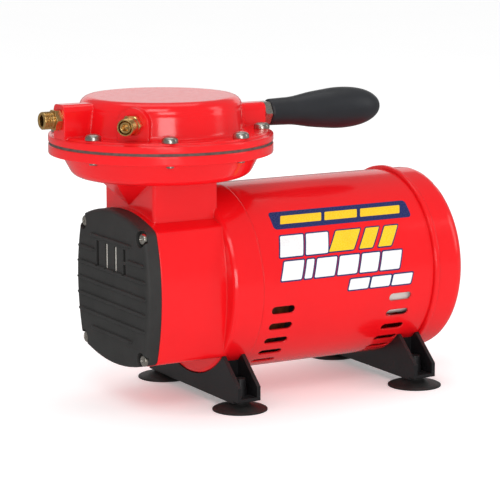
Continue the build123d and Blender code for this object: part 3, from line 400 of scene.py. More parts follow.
def cover_plastic(colours):
    return moulded("Cover plastic", colours.cover, 2600.0, 0.50, 0.66, 0.35, 0.05)


def grip_plastic(colours):
    return moulded("Grip plastic", colours.grip, 1900.0, 0.38, 0.50, 0.22, 0.06)


def leg_plastic(colours):
    return moulded("Leg plastic", colours.legs, 1500.0, 0.26, 0.42, 0.20, 0.08)


def rubber(colours):
    """Black rubber with a dull bloom."""
    finish = Finish("Rubber", {"Specular IOR Level": 0.35})
    base = finish.mottled(colours.rubber, tinted(colours.rubber, 2.2), 45.0, 0.5)
    mask = finish.effect("Dust", {"Scale": 140.0, "Amount": 0.12})["Mask"]
    finish.colour(finish.mixed(mask, base, rgba((0.26, 0.25, 0.24))))
    skin = finish.effect("Grain", {"Scale": 1200.0, "Low": 0.42, "High": 0.62})
    finish.roughness(skin["Roughness"])
    finish.relief(skin["Height"], 0.25, 0.0002)
    return finish.material


def reinforced_rubber(colours):
    """Grey-brown rubber sheet whose cut edge shows the weave inside."""
    finish = Finish("Reinforced rubber", {"Specular IOR Level": 0.3})
    finish.colour(finish.mottled((0.13, 0.085, 0.075), (0.06, 0.045, 0.042), 240.0, 0.8))
    weave = finish.effect("Streaks", {"Stretch": (1.0, 1.0, 0.2), "Scale": 1500.0, "Low": 0.5, "High": 0.75})
    finish.roughness(weave["Roughness"])
    finish.relief(weave["Height"], 0.4, 0.0003)
    return finish.material


def metal(name, colour, tint, low, high, stretch, scale):
    """Bare or plated metal with fine tool marks, slightly stained, its edges painted brighter for wear and as
    a painted highlight.
    """
    finish = Finish(name, {"Metallic": 1.0})
    base = finish.mottled(colour, tint, 160.0, 0.7)
    edge = finish.effect("Soft edge", {"Radius": 0.0003})
    # Edges painted brighter: wear, and a painted highlight.
    worn_and_highlit = calc(finish.tree, "MULTIPLY", edge["Edge"], 0.4)
    finish.colour(finish.mixed(worn_and_highlit, base, rgba(tinted(colour, 1.25))))
    marks = finish.effect("Streaks", {"Stretch": stretch, "Scale": scale, "Low": low, "High": high})
    finish.roughness(marks["Roughness"])
    finish.relief(marks["Height"], 0.12, 0.0001, edge["Normal"])
    return finish.material


def brass(colours):
    return metal("Brass", colours.brass, (0.62, 0.36, 0.12), 0.20, 0.36, (8.0, 1.0, 1.0), 500.0)


def zinc_plating(colours):
    return metal("Zinc plating", colours.zinc, (0.40, 0.36, 0.30), 0.22, 0.38, (1.0, 1.0, 3.0), 700.0)


def bare_steel(colours):
    return metal("Turned steel", (0.56, 0.56, 0.58), (0.42, 0.41, 0.40), 0.22, 0.40, (10.0, 1.0, 1.0), 300.0)


def spring_steel(colours):
    return metal("Spring steel", (0.46, 0.47, 0.50), (0.30, 0.30, 0.34), 0.20, 0.34, (1.0, 12.0, 1.0), 300.0)


def cast_aluminium(colours):
    return metal("Cast aluminium", (0.62, 0.62, 0.64), (0.50, 0.50, 0.51), 0.36, 0.56, (1.0, 1.0, 1.0), 900.0)


def felt(colours):
    """Pressed felt: matted fibres."""
    finish = Finish("Felt", {"Sheen Weight": 0.3, "Sheen Roughness": 0.6})
    finish.colour(finish.mottled(colours.felt, tinted(colours.felt, 0.72), 260.0, 0.8))
    fibres = finish.effect("Streaks", {"Stretch": (1.0, 3.0, 1.0), "Scale": 1400.0, "Low": 0.88, "High": 1.0})
    finish.roughness(fibres["Roughness"])
    finish.relief(fibres["Height"], 0.8, 0.0008)
    return finish.material


def laminated_steel(colours):
    """Edges of stacked sheets, under a thin dark varnish."""
    finish = Finish("Laminated steel", {"Metallic": 0.8})
    finish.colour(finish.mottled((0.20, 0.20, 0.22), (0.11, 0.09, 0.08), 90.0, 0.8))
    along = add(finish.tree, "ShaderNodeSeparateXYZ", {"Vector": finish.place}).outputs["X"]
    sheets = finish.effect("Ridges", {"Along": along, "Spacing": 0.001})
    skin = finish.effect("Grain", {"Scale": 700.0, "Low": 0.36, "High": 0.6})
    finish.roughness(skin["Roughness"])
    finish.relief(sheets["Height"], 0.6, 0.0003)
    return finish.material


def copper_wire(colours):
    """Lacquered wires wound round the motor axis."""
    finish = Finish("Copper wire", {"Metallic": 0.7, "Coat Weight": 0.4})
    finish.colour(finish.mottled(colours.copper, tinted(colours.copper, 0.45), 120.0, 0.9))
    parts = add(finish.tree, "ShaderNodeSeparateXYZ", {"Vector": finish.place}).outputs
    up = calc(finish.tree, "SUBTRACT", parts["Z"], SEAM.z)
    squares = calc(finish.tree, "ADD", calc(finish.tree, "MULTIPLY", up, up),
                   calc(finish.tree, "MULTIPLY", parts["Y"], parts["Y"]))
    outward = calc(finish.tree, "SQRT", squares)
    across = calc(finish.tree, "ADD", outward, parts["X"])
    wires = finish.effect("Ridges", {"Along": across, "Spacing": 0.0016})
    skin = finish.effect("Grain", {"Scale": 500.0, "Low": 0.25, "High": 0.5})
    finish.roughness(skin["Roughness"])
    finish.relief(wires["Height"], 0.9, 0.0006)
    return finish.material


def white_plastic(colours):
    """White moulded plastic, a little yellowed."""
    finish = Finish("White plastic", {"Specular IOR Level": 0.45})
    finish.colour(finish.mottled((0.80, 0.80, 0.77), (0.68, 0.66, 0.58), 70.0, 0.6))
    skin = finish.effect("Grain", {"Scale": 1100.0, "Low": 0.26, "High": 0.4})
    finish.roughness(skin["Roughness"])
    finish.relief(skin["Height"], 0.15, 0.0002)
    return finish.material


def label_ink(name, colour):
    """Printed vinyl film: smooth, a little uneven in the ink."""
    finish = Finish(name, {"Coat Weight": 0.3, "Coat Roughness": 0.12})
    finish.colour(finish.mottled(colour, tinted(colour, 0.88), 180.0, 0.6))
    skin = finish.effect("Grain", {"Scale": 800.0, "Low": 0.22, "High": 0.32})
    finish.roughness(skin["Roughness"])
    finish.relief(skin["Height"], 0.05, 0.0001)
    return finish.material


def label_navy(colours):
    return label_ink("Label navy", colours.label_dark)


def label_yellow(colours):
    return label_ink("Label yellow", colours.label_bright)


def label_white(colours):
    return label_ink("Label white", colours.label_white)


FINISHES = {
    "red_paint": enamel,
    "black_rubber": rubber,
    "reinforced_rubber": reinforced_rubber,
    "aluminium": cast_aluminium,
    "zinc_steel": zinc_plating,
    "spring_steel": spring_steel,
    "bare_steel": bare_steel,
    "brass": brass,
    "grip_plastic": grip_plastic,
    "cover_plastic": cover_plastic,
    "leg_plastic": leg_plastic,
    "felt": felt,
    "lamination_steel": laminated_steel,
    "copper": copper_wire,
    "white_plastic": white_plastic,
    "label_navy": label_navy,
    "label_yellow": label_yellow,
    "label_white": label_white,
}
# Nodes whose finish is not the usual one of their slot
OWN_FINISHES = {"diaphragm": "reinforced_rubber"}

made_finishes = {}


def finish_for(slot):
    """The material of a slot, made the first time it is asked for."""
    if slot not in made_finishes:
        made_finishes[slot] = FINISHES[slot](bpy.context.scene.compressor_finishes)
    return made_finishes[slot]


# Mesh helpers


def softened(points, radius, steps=3, least=25.0):
    """A closed outline with its sharp corners rounded off."""
    rounded = []
    for k, corner in enumerate(points):
        before, here, after = Vector(points[k - 1]), Vector(corner), Vector(points[(k + 1) % len(points)])
        into, out = before - here, after - here
        bend = pi - into.angle(out, pi)
        if bend < radians(least):
            rounded.append(tuple(here))
            continue
        reach = min(radius * tan(bend / 2), 0.45 * into.length, 0.45 * out.length)
        start, end = here + into.normalized() * reach, here + out.normalized() * reach
        for step in range(steps + 1):
            share = step / steps
            bow = start * (1 - share) ** 2 + here * 2 * share * (1 - share) + end * share ** 2
            rounded.append(tuple(bow))
    return rounded


def divided(outline, low, high, step):
    """An outline with more points where it runs between two places along it."""
    finer = []
    for k, (along, radius) in enumerate(outline):
        finer.append((along, radius))
        next_along, next_radius = outline[(k + 1) % len(outline)]
        inside = low <= min(along, next_along) and max(along, next_along) <= high
        parts = int(abs(next_along - along) / step) if inside else 0
        for part in range(1, parts):
            share = part / parts
            finer.append((along + (next_along - along) * share, radius + (next_radius - radius) * share))
    return finer


def lathe(outline, segments=96, shape=None):
    """Closed mesh turned about X from a closed outline of (along, radius)."""
    bm = bmesh.new()
    rings = []
    for along, radius in outline:
        ring = []
        for k in range(segments if radius > 1e-6 else 1):
            angle = tau * k / segments
            r = shape(along, radius, angle) if shape else radius
            ring.append(bm.verts.new((along, r * cos(angle), r * sin(angle))))
        rings.append(ring)
    skin(bm, rings, rings[1:] + rings[:1], segments)
    return bm


def skin(bm, firsts, seconds, segments):
    """Faces between pairs of rings, where a ring may be a single point on the axis."""
    for first, second in zip(firsts, seconds):
        for k in range(segments):
            after = (k + 1) % segments
            corners = [first[k % len(first)], first[after % len(first)],
                       second[after % len(second)], second[k % len(second)]]
            corners = list(dict.fromkeys(corners))
            if len(corners) > 2:
                bm.faces.new(corners)


def hexagonal(flats, low, high, least=0.0, most=1e6):
    """Keeps a turned shape inside a hexagon between two places along it."""
    def shape(along, radius, angle):
        if not (low - 0.01 <= along <= high + 0.01 and least < radius < most):
            return radius
        reach = flats / 2 / cos((angle % (tau / 6)) - tau / 12)
        return min(radius, reach)
    return shape


def threaded(pitch, depth, low, high, least):
    """Cuts a helical thread into what is further out than least, between two places along it."""
    def shape(along, radius, angle):
        if not low <= along <= high or radius < least:
            return radius
        turn = (along / pitch + angle / tau) % 1.0
        groove = max(0.0, min(1.0, 1.35 - 3.2 * abs(turn - 0.5)))
        ease = min(1.0, (along - low) / pitch, (high - along) / pitch)
        return radius - depth * groove * ease
    return shape


def both(first, second):
    return lambda along, radius, angle: second(along, first(along, radius, angle), angle)


def loft(rings):
    """Closed mesh through rings of as many points each, with its two ends filled."""
    bm = bmesh.new()
    loops = [[bm.verts.new(point) for point in ring] for ring in rings]
    skin(bm, loops[:-1], loops[1:], len(loops[0]))
    bm.faces.new(loops[0])
    bm.faces.new(loops[-1])
    return bm


def block(low, high):
    """Plain closed box, used to cut or join."""
    x0, y0, z0 = low
    x1, y1, z1 = high
    return loft([[(x, y0, z0), (x, y1, z0), (x, y1, z1), (x, y0, z1)] for x in (x0, x1)])


def bar(radius, x0, x1, y, z, segments=64):
    bm = lathe([(x0, 0), (x0, radius), (x1, radius), (x1, 0)], segments)
    bm.transform(Matrix.Translation((0, y, z)))
    return bm


def to_mesh(bm):
    """Plain mesh with closed seams and outward faces."""
    bmesh.ops.remove_doubles(bm, verts=bm.verts, dist=1e-5)
    bmesh.ops.recalc_face_normals(bm, faces=bm.faces)
    mesh = bpy.data.meshes.new("part")
    bm.to_mesh(mesh)
    bm.free()
    return mesh


def worked(mesh, tools, operation):
    """A mesh joined with, or cut by, other closed meshes."""
    target = bpy.data.objects.new("work", mesh)
    bpy.context.scene.collection.objects.link(target)
    helpers = []
    for tool in tools:
        helper = bpy.data.objects.new("tool", tool)
        bpy.context.scene.collection.objects.link(helper)
        helpers.append(helper)
        modifier = target.modifiers.new("Boolean", "BOOLEAN")
        modifier.operation = operation
        modifier.solver = "EXACT"
        modifier.object = helper
    graph = bpy.context.evaluated_depsgraph_get()
    result = bpy.data.meshes.new_from_object(target.evaluated_get(graph))
    for helper in helpers + [target]:
        bpy.data.objects.remove(helper)
    return result


def grown(tree, base, values):
    """Plain mesh that a Geometry Nodes tree makes from a base mesh."""
    carrier = bpy.data.objects.new("carrier", base)
    bpy.context.scene.collection.objects.link(carrier)
    modifier = carrier.modifiers.new("Nodes", "NODES")
    modifier.node_group = tree
    for item in tree.interface.items_tree:
        if item.in_out == "INPUT" and item.name in values:
            modifier[item.identifier] = values[item.name]
    graph = bpy.context.evaluated_depsgraph_get()
    mesh = bpy.data.meshes.new_from_object(carrier.evaluated_get(graph))
    bpy.data.objects.remove(carrier)
    return mesh


def points_mesh(places):
    """Loose vertices for a tree to work on, in millimetres."""
    mesh = bpy.data.meshes.new("places")
    mesh.from_pydata(places, [], [])
    return mesh


def add_piece(name, mesh, slot, nodes=(), turned=Matrix.Identity(4), angle=32.0, finish=None):
    """Puts a mesh drawn in millimetres into the model, on the housing and in its finish."""
    mesh.transform(TO_ROW @ turned)
    mesh.name = name
    mesh.shade_smooth()
    mesh.set_sharp_from_angle(angle=radians(angle))
    mesh.materials.clear()
    mesh.materials.append(finish_for(finish or slot))
    piece = bpy.data.objects.new(name, mesh)
    bpy.context.scene.collection.objects.link(piece)
    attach(piece, "housing")
    if nodes:
        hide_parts(*nodes)


# Geometry Nodes trees


def screw_tree():
    """Puts a screw at every point, each turned by chance about its own axis."""
    inputs = [("Geometry", "Geometry"), ("Screw", "Object"), ("Facing", "Vector"), ("Seed", "Int"),
              ("Material", "Material")]
    tree, given, gives = new_group("GeometryNodeTree", "Screws at points", inputs, [("Geometry", "Geometry")])
    screw = add(tree, "GeometryNodeObjectInfo", {"Object": given["Screw"]}).outputs["Geometry"]
    chance = add(tree, "FunctionNodeRandomValue", {"Seed": given["Seed"]}, data_type="FLOAT")
    chance.inputs[3].default_value = tau
    spin = add(tree, "FunctionNodeAxisAngleToRotation", {"Axis": (0, 0, 1), "Angle": chance.outputs[1]})
    facing = add(tree, "FunctionNodeEulerToRotation", {"Euler": given["Facing"]}).outputs[0]
    turn = add(tree, "FunctionNodeRotateRotation", {0: facing, 1: spin.outputs[0]}, rotation_space="LOCAL")
    values = {"Points": given["Geometry"], "Instance": screw, "Rotation": turn.outputs[0]}
    placed = add(tree, "GeometryNodeInstanceOnPoints", values).outputs[0]
    real = add(tree, "GeometryNodeRealizeInstances", {"Geometry": placed}).outputs[0]
    painted = add(tree, "GeometryNodeSetMaterial", {"Geometry": real, "Material": given["Material"]})
    join(tree, gives, {"Geometry": painted.outputs[0]})
    return tree


def rib_tree():
    """Runs a rounded rib along every line, tapered off at its two ends."""
    inputs = [("Geometry", "Geometry"), ("Width", "Float"), ("Height", "Float"), ("Corner", "Float"),
              ("Taper", "Float"), ("Material", "Material")]
    tree, given, gives = new_group("GeometryNodeTree", "Ribs along lines", inputs, [("Geometry", "Geometry")])
    lines = add(tree, "GeometryNodeMeshToCurve", {"Mesh": given["Geometry"]}).outputs[0]
    fine = add(tree, "GeometryNodeResampleCurve", {"Curve": lines, "Count": 64}).outputs[0]
    upright = add(tree, "GeometryNodeSetCurveNormal", {"Curve": fine}, mode="Z_UP")
    along = tree.nodes.new("GeometryNodeSplineParameter").outputs["Length"]
    whole = tree.nodes.new("GeometryNodeSplineLength").outputs["Length"]
    left = calc(tree, "SUBTRACT", whole, along)
    near_end = calc(tree, "MINIMUM", along, left)
    limits = {"Value": near_end, "From Min": 0.0, "From Max": given["Taper"], "To Min": 0.45, "To Max": 1.0}
    ramp = add(tree, "ShaderNodeMapRange", limits, interpolation_type="SMOOTHERSTEP").outputs["Result"]
    shape = {"Width": calc(tree, "MULTIPLY", given["Height"], 2.0), "Height": given["Width"]}
    outline = add(tree, "GeometryNodeCurvePrimitiveQuadrilateral", shape).outputs[0]
    rounding = {"Curve": outline, "Radius": given["Corner"], "Count": 4}
    profile = add(tree, "GeometryNodeFilletCurve", rounding, mode="POLY").outputs[0]
    sweep = {"Curve": upright.outputs[0], "Profile Curve": profile, "Scale": ramp, "Fill Caps": True}
    swept = add(tree, "GeometryNodeCurveToMesh", sweep).outputs[0]
    real = add(tree, "GeometryNodeRealizeInstances", {"Geometry": swept}).outputs[0]
    painted = add(tree, "GeometryNodeSetMaterial", {"Geometry": real, "Material": given["Material"]})
    join(tree, gives, {"Geometry": painted.outputs[0]})
    return tree


# Pieces


def pan_screw(head_r, head_height, shank_r, length, recess):
    """Pan-head screw with a cross recess, its seat at the origin and its head upwards."""
    flat = head_r * 0.45
    head = [(-length, 0), (-length, shank_r * 0.8), (-length + 0.5, shank_r), (0, shank_r)]
    head += [(0, head_r - 0.15), (0.15, head_r), (head_height * 0.42, head_r)]
    for step in range(1, 6):
        angle = radians(90 * step / 5)
        rise = head_height * (0.42 + 0.58 * sin(angle))
        head.append((rise, flat + (head_r - flat) * cos(angle)))
    head.append((head_height, 0))
    screw = lathe(head, 40)
    depth, reach = head_height * 0.62, head_r * 0.56
    cutters = []
    for turn in (0, 90):
        cross = []
        floor = (head_height - depth, recess * 0.35, reach * 0.5)
        mouth = (head_height + 1, recess / 2, reach * 1.15)
        for along, y, z in (floor, mouth):
            cross.append([(along, *corner) for corner in rectangle(-y, y, -z, z)])
        cutter = loft(cross)
        cutter.transform(Matrix.Rotation(radians(turn), 4, "X"))
        cutters.append(to_mesh(cutter))
    mesh = worked(to_mesh(screw), cutters, "DIFFERENCE")
    mesh.transform(Matrix.Rotation(radians(-90), 4, "Y"))
    return mesh


def rectangle(y0, y1, z0, z1):
    return [(y0, z0), (y1, z0), (y1, z1), (y0, z1)]


def screws_at(name, node, screw, places, facing, seed):
    """One piece of like screws at their places."""
    item = bpy.data.objects.new("screw", screw)
    bpy.context.scene.collection.objects.link(item)
    tree = bpy.data.node_groups.get("Screws at points") or screw_tree()
    values = {"Screw": item, "Facing": facing, "Seed": seed, "Material": finish_for("zinc_steel")}
    mesh = grown(tree, points_mesh(places), values)
    bpy.data.objects.remove(item)
    add_piece(name, mesh, "zinc_steel", (node,))


def cover_outline(x, inset, corner=COVER_CORNER_R):
    """The cover's bulged square at one depth, drawn in from its full size."""
    y, top, bottom = COVER_CORNER
    y, top, bottom = y - inset, top - inset, bottom + inset
    corners = [(-y, top), (y, top), (y, bottom), (-y, bottom)]
    side = COVER_SIDE - inset
    middles = [(0, COVER_TOP - inset), (side, 0), (0, COVER_BOTTOM + inset), (-side, 0)]
    points = []
    for k, middle in enumerate(middles):
        start, end = Vector(corners[k]), Vector(corners[(k + 1) % 4])
        crown = Vector(middle) - (start + end) / 2
        for step in range(12):
            share = step / 12
            points.append(tuple(start.lerp(end, share) + crown * 4 * share * (1 - share)))
    rounded = softened(points, max(corner - inset, 1.5), 6)
    return [(x, y, z) for y, z in rounded]


def cover_shell(sizes):
    """Tray with a rounded front edge, open to the back."""
    edge = sizes.cover_edge / MM
    wall = sizes.cover_wall / MM
    rings = [cover_outline(COVER_BACK, 0.0)]
    for step in range(7):
        angle = radians(90 * step / 6)
        rings.append(cover_outline(COVER_FACE + edge * (1 - sin(angle)), edge * (1 - cos(angle))))
    outside = loft(rings)
    hollow = loft([cover_outline(COVER_BACK + 1, wall + 0.5), cover_outline(COVER_FACE + wall, wall + 0.5)])
    return to_mesh(outside), to_mesh(hollow)


def rib_lines():
    """Lines of the cover's ribs, from side to side. The one at the slots is broken there."""
    lines = []
    for z in LONG_RIBS_Z:
        limit = COVER_CORNER[1] if z > 0 else -COVER_CORNER[2]
        half = COVER_SIDE - (COVER_SIDE - COVER_CORNER[0]) * (z / limit) ** 2 - RIB_END
        if z == SLOT_RIB_Z:
            lines += [(-half, SLOT_RIB_GAP[0], z), (SLOT_RIB_GAP[1], half, z)]
        else:
            lines.append((-half, half, z))
    lines += [(-SHORT_RIB_HALF, SHORT_RIB_HALF, z) for z in SHORT_RIBS_Z]
    mesh = bpy.data.meshes.new("rib lines")
    ends = [(COVER_FACE, y, z) for y0, y1, z in lines for y in (y0, y1)]
    mesh.from_pydata(ends, [(2 * k, 2 * k + 1) for k in range(len(lines))], [])
    return mesh


def front_cover(sizes):
    """The moulded cover: shell, ribs, filter frame, slots, and sunk pockets for its screws."""
    shell, hollow = cover_shell(sizes)
    wall = sizes.cover_wall / MM
    core = to_mesh(loft([cover_outline(x, 0.4) for x in (COVER_BACK, COVER_FACE + 1)]))
    places = [(y, z) for z in COVER_SCREW_Z for y in (-COVER_SCREW_Y, COVER_SCREW_Y)]
    mesh = worked(shell, [hollow], "DIFFERENCE")
    half, low, high = FILTER_FRAME
    inner = FILTER_WALL
    frame_wall = to_mesh(block((COVER_FACE + wall - 0.2, -half, low), (COVER_FACE + 7, half, high)))
    hole_low = (COVER_FACE + wall, -half + inner, low + inner)
    hole_high = (COVER_FACE + 8, half - inner, high - inner)
    joined = [worked(frame_wall, [to_mesh(block(hole_low, hole_high))], "DIFFERENCE")]
    for y, z in places:
        pillar = to_mesh(bar(7.6, COVER_FACE + 1.5, COVER_BACK, y, z))
        joined.append(worked(pillar, [core.copy()], "INTERSECT"))
    tree = bpy.data.node_groups.get("Ribs along lines") or rib_tree()
    values = {"Width": sizes.rib_width / MM, "Height": sizes.rib_height / MM, "Corner": 0.9, "Taper": 3.0,
              "Material": finish_for("cover_plastic")}
    joined.append(grown(tree, rib_lines(), values))
    mesh = worked(mesh, joined, "UNION")
    cutters = []
    slot_half = sizes.slot_width / MM / 2
    for k, y in enumerate(SLOT_Y):
        stretches = [SLOT_Z] if k else [(SLOT_Z[0], SLOT_BAR_Z[0]), (SLOT_BAR_Z[1], SLOT_Z[1])]
        for z0, z1 in stretches:
            rounded = softened(rectangle(-slot_half, slot_half, z0, z1), 0.5, 3)
            depths = (COVER_FACE - 3, COVER_FACE + wall + 0.5)
            rings = [[(x, y + across, z) for across, z in rounded] for x in depths]
            cutters.append(to_mesh(loft(rings)))
    for y, z in places:
        cutters.append(to_mesh(bar(POCKET_R, COVER_FACE - 3, POCKET_FLOOR, y, z)))
        cutters.append(to_mesh(bar(2.3, POCKET_FLOOR - 1, COVER_BACK + 1, y, z, 32)))
    mesh = worked(mesh, cutters, "DIFFERENCE")
    add_piece("front_cover_moulding", mesh, "cover_plastic", ("front_cover",), angle=28.0)
    screw = pan_screw(4.4, 3.1, 2.0, 27.0, sizes.recess_width / MM * 0.85)
    seats = [(POCKET_FLOOR, y, z) for y, z in places]
    screws_at("cover_screw_set", "cover_screws", screw, seats, (0, radians(-90), 0), 5)


def filter_pad():
    """Felt pad with softly rounded, slightly uneven edges."""
    half, low, high = FILTER_FRAME
    rim = FILTER_WALL + 0.15
    rings = []
    for x, inset in ((-88.4, 0.9), (-88.2, 0.3), (-87.6, 0.0), (-85.2, 0.0), (-84.7, 0.3), (-84.5, 0.9)):
        edge = rim + inset
        corners = rectangle(-half + edge, half - edge, low + edge, high - edge)
        rings.append([(x, y, z) for y, z in softened(corners, 1.5, 4)])
    pad = [to_mesh(loft(rings))]
    inside = rings[0][0][0] + 0.4
    for middle in SLOT_Y[1:3]:
        corners = rectangle(middle - STRIP_HALF, middle + STRIP_HALF, SLOT_Z[0] + 0.5, SLOT_Z[1] - 0.5)
        strip = [[(x, y, z) for y, z in softened(corners, 0.8, 4)] for x in (STRIP_FACE, inside)]
        pad.append(to_mesh(loft(strip)))
    add_piece("filter_pad", merged(pad), "felt", ("intake_filter",), angle=50.0)


def outlet_fitting(sizes):
    """Turned brass fitting: pipe thread, hexagon with chamfered corners, and a plain shank into the boss."""
    tip, inner_end = FITTING_TIP, FITTING_INNER_END
    hex0, hex1 = FITTING_HEX
    nose, bore = FITTING_NOSE_R, FITTING_BORE_R
    corner = FITTING_FLATS / 2 / cos(pi / 6)
    pitch, depth = sizes.outlet_pitch / MM, sizes.outlet_depth / MM
    flat = FITTING_FLATS / 2
    outline = [(inner_end, bore), (tip + 0.9, bore), (tip, bore + 0.8), (tip, nose - 1.0), (tip + 0.9, nose)]
    outline += [(hex0 - 1.3, nose), (hex0 - 1.1, nose - 0.8), (hex0, nose - 0.8), (hex0, flat - 0.2)]
    outline += [(hex0 + 0.9, corner + 0.2), (hex1 - 0.7, corner + 0.2), (hex1, flat), (hex1, 5.5)]
    outline += [(inner_end - 0.8, 5.5), (inner_end, 4.8)]
    outline = divided(outline, tip + 0.8, hex0 - 1.2, pitch / 9)
    outline = divided(outline, hex0, hex1, 0.12)
    cut = threaded(pitch, depth, tip + 0.6, hex0 - 1.0, bore + 1)
    shape = both(cut, hexagonal(FITTING_FLATS, hex0, hex1, 6.9))
    mesh = to_mesh(lathe(outline, 96, shape))
    raised = Matrix.Translation((0, 0, OUTLET_Z))
    add_piece("outlet_nipple", mesh, "brass", ("outlet_fitting",), turned=raised)


def relief_matrix():
    """From a shape turned about X to the relief valve's own axis."""
    turn = Matrix.Rotation(radians(RELIEF_ANGLE), 4, "Z")
    return Matrix.Translation((HEAD_X, 0, RELIEF_Z)) @ turn


def relief_valve(sizes):
    """Brass body with a hexagon, a tapered shoulder and a threaded nose, and its socket screw."""
    hex0, hex1 = VALVE_HEX
    start, tip = VALVE_NOSE
    nose, bore = VALVE_NOSE_R, VALVE_BORE_R
    pitch, depth = sizes.valve_pitch / MM, sizes.valve_depth / MM
    corner = VALVE_FLATS / 2 / cos(pi / 6)
    outline = [(VALVE_SEAT, 1.8), (VALVE_SEAT, 4.5), (hex0, 4.5), (hex0, VALVE_FLATS / 2)]
    outline += [(hex0 + 0.7, corner + 0.2), (hex1 - 0.8, corner + 0.2), (hex1, VALVE_FLATS / 2 - 0.15)]
    outline += [(hex1 + 0.3, VALVE_FLATS / 2 - 0.4), (start, nose), (tip - 0.7, nose), (tip, nose - 0.6)]
    outline += [(tip, bore + 0.3), (tip - 0.3, bore), (VALVE_BORE_FLOOR, bore), (VALVE_BORE_FLOOR, 3.1)]
    outline += [(VALVE_SEAT + 3, 3.1), (VALVE_SEAT + 3, 1.8)]
    outline = divided(outline, hex0, hex1, 0.12)
    outline = divided(outline, start, tip, pitch / 8)
    cut = threaded(pitch, depth, start + 0.8, tip - 0.4, bore + 0.6)
    shape = both(cut, hexagonal(VALVE_FLATS, hex0, hex1, 6.7))
    mesh = to_mesh(lathe(outline, 96, shape))
    add_piece("relief_body", mesh, "brass", ("relief_valve_body",), turned=relief_matrix())
    head = tip - 0.2
    socket = SOCKET_FLATS / 2 / cos(pi / 6)
    outline = [(VALVE_BORE_FLOOR, 0), (VALVE_BORE_FLOOR, 4.0), (VALVE_BORE_FLOOR + 0.6, 4.9), (tip - 4, 4.9)]
    outline += [(tip - 3.4, 4.5), (head - 0.7, 4.4), (head, 3.8), (head, socket + 0.3), (head - 0.4, socket)]
    outline += [(head - 7.2, socket), (head - 7.6, 0)]
    outline = divided(outline, VALVE_BORE_FLOOR + 0.6, tip - 4, 0.12)
    cut = threaded(1.0, 0.3, VALVE_BORE_FLOOR + 0.7, tip - 4.2, 4.7)
    shape = both(cut, hexagonal(SOCKET_FLATS, head - 7.3, head - 0.35, 0.1, 2.8))
    mesh = to_mesh(lathe(outline, 96, shape))
    add_piece("relief_socket_screw", mesh, "brass", ("relief_adjusting_screw",), turned=relief_matrix())


def head_screws(sizes):
    """Pan-head screws round the flange."""
    screw = pan_screw(6.0, 4.4, 3.0, SCREW_SEAT - SCREW_TIP, sizes.recess_width / MM)
    places = []
    for k in range(sizes.head_screws):
        angle = radians(SCREW_CIRCLE_START + 360 / sizes.head_screws * k)
        places.append((HEAD_X + SCREW_CIRCLE_R * cos(angle), SCREW_CIRCLE_R * sin(angle), SCREW_SEAT))
    screws_at("head_screw_set", "head_screws", screw, places, (0, 0, 0), 11)


def leg_screws(sizes):
    """Pan-head screws up through each leg into the motor."""
    screw = pan_screw(4.0, 3.4, 2.0, LEG_SCREW_TIP - LEG_SCREW_SEAT, sizes.recess_width / MM * 0.8)
    places = [(x, y, LEG_SCREW_SEAT) for x in LEG_X for y in LEG_SCREW_Y]
    screws_at("leg_screw_set", "leg_screws", screw, places, (pi, 0, 0), 3)


def film(x0, x1, low, high, slant, corner, base, thickness):
    """Closed piece of label film on the tube's near side.

    low and high are heights round the tube in degrees above its middle, and slant moves the top edge along X.
    """
    arc = radians(1) * TUBE_R
    height = (high - low) * arc
    corner = min(corner, height / 2 - 0.01, (x1 - x0) / 2 - 0.01)
    bends = [corner * (1 - cos(radians(90 * k / 6))) for k in range(7)]
    count = max(2, int(height / 2.0))
    levels = bends + [corner + (height - 2 * corner) * k / count for k in range(1, count)]
    levels += [height - b for b in reversed(bends)]
    across = max(2, int((x1 - x0) / 6))
    bm = bmesh.new()
    sheets = []
    for radius in (TUBE_R + base, TUBE_R + base + thickness):
        rows = []
        for level in levels:
            from_end = min(level, height - level)
            into_corner = max(0.0, corner - from_end)
            inset = corner - sqrt(corner ** 2 - into_corner ** 2)
            shift = slant * (level / height - 0.5)
            angle = radians(low) + level / TUBE_R
            start, end = x0 + inset + shift, x1 - inset + shift
            row = []
            for k in range(across + 1):
                x = start + (end - start) * k / across
                row.append(bm.verts.new((x, -radius * cos(angle), radius * sin(angle))))
            rows.append(row)
        sheets.append(rows)
    rims = []
    for rows in sheets:
        for lower, upper in zip(rows, rows[1:]):
            for k in range(across):
                bm.faces.new((lower[k], lower[k + 1], upper[k + 1], upper[k]))
        right = [row[-1] for row in rows[1:-1]]
        left = [row[0] for row in rows[-2:0:-1]]
        rims.append(rows[0] + right + rows[-1][::-1] + left)
    skin(bm, rims[:1], rims[1:], len(rims[0]))
    return to_mesh(bm)


def merged(meshes):
    """Several meshes as one."""
    bm = bmesh.new()
    for mesh in meshes:
        bm.from_mesh(mesh)
    return to_mesh(bm)


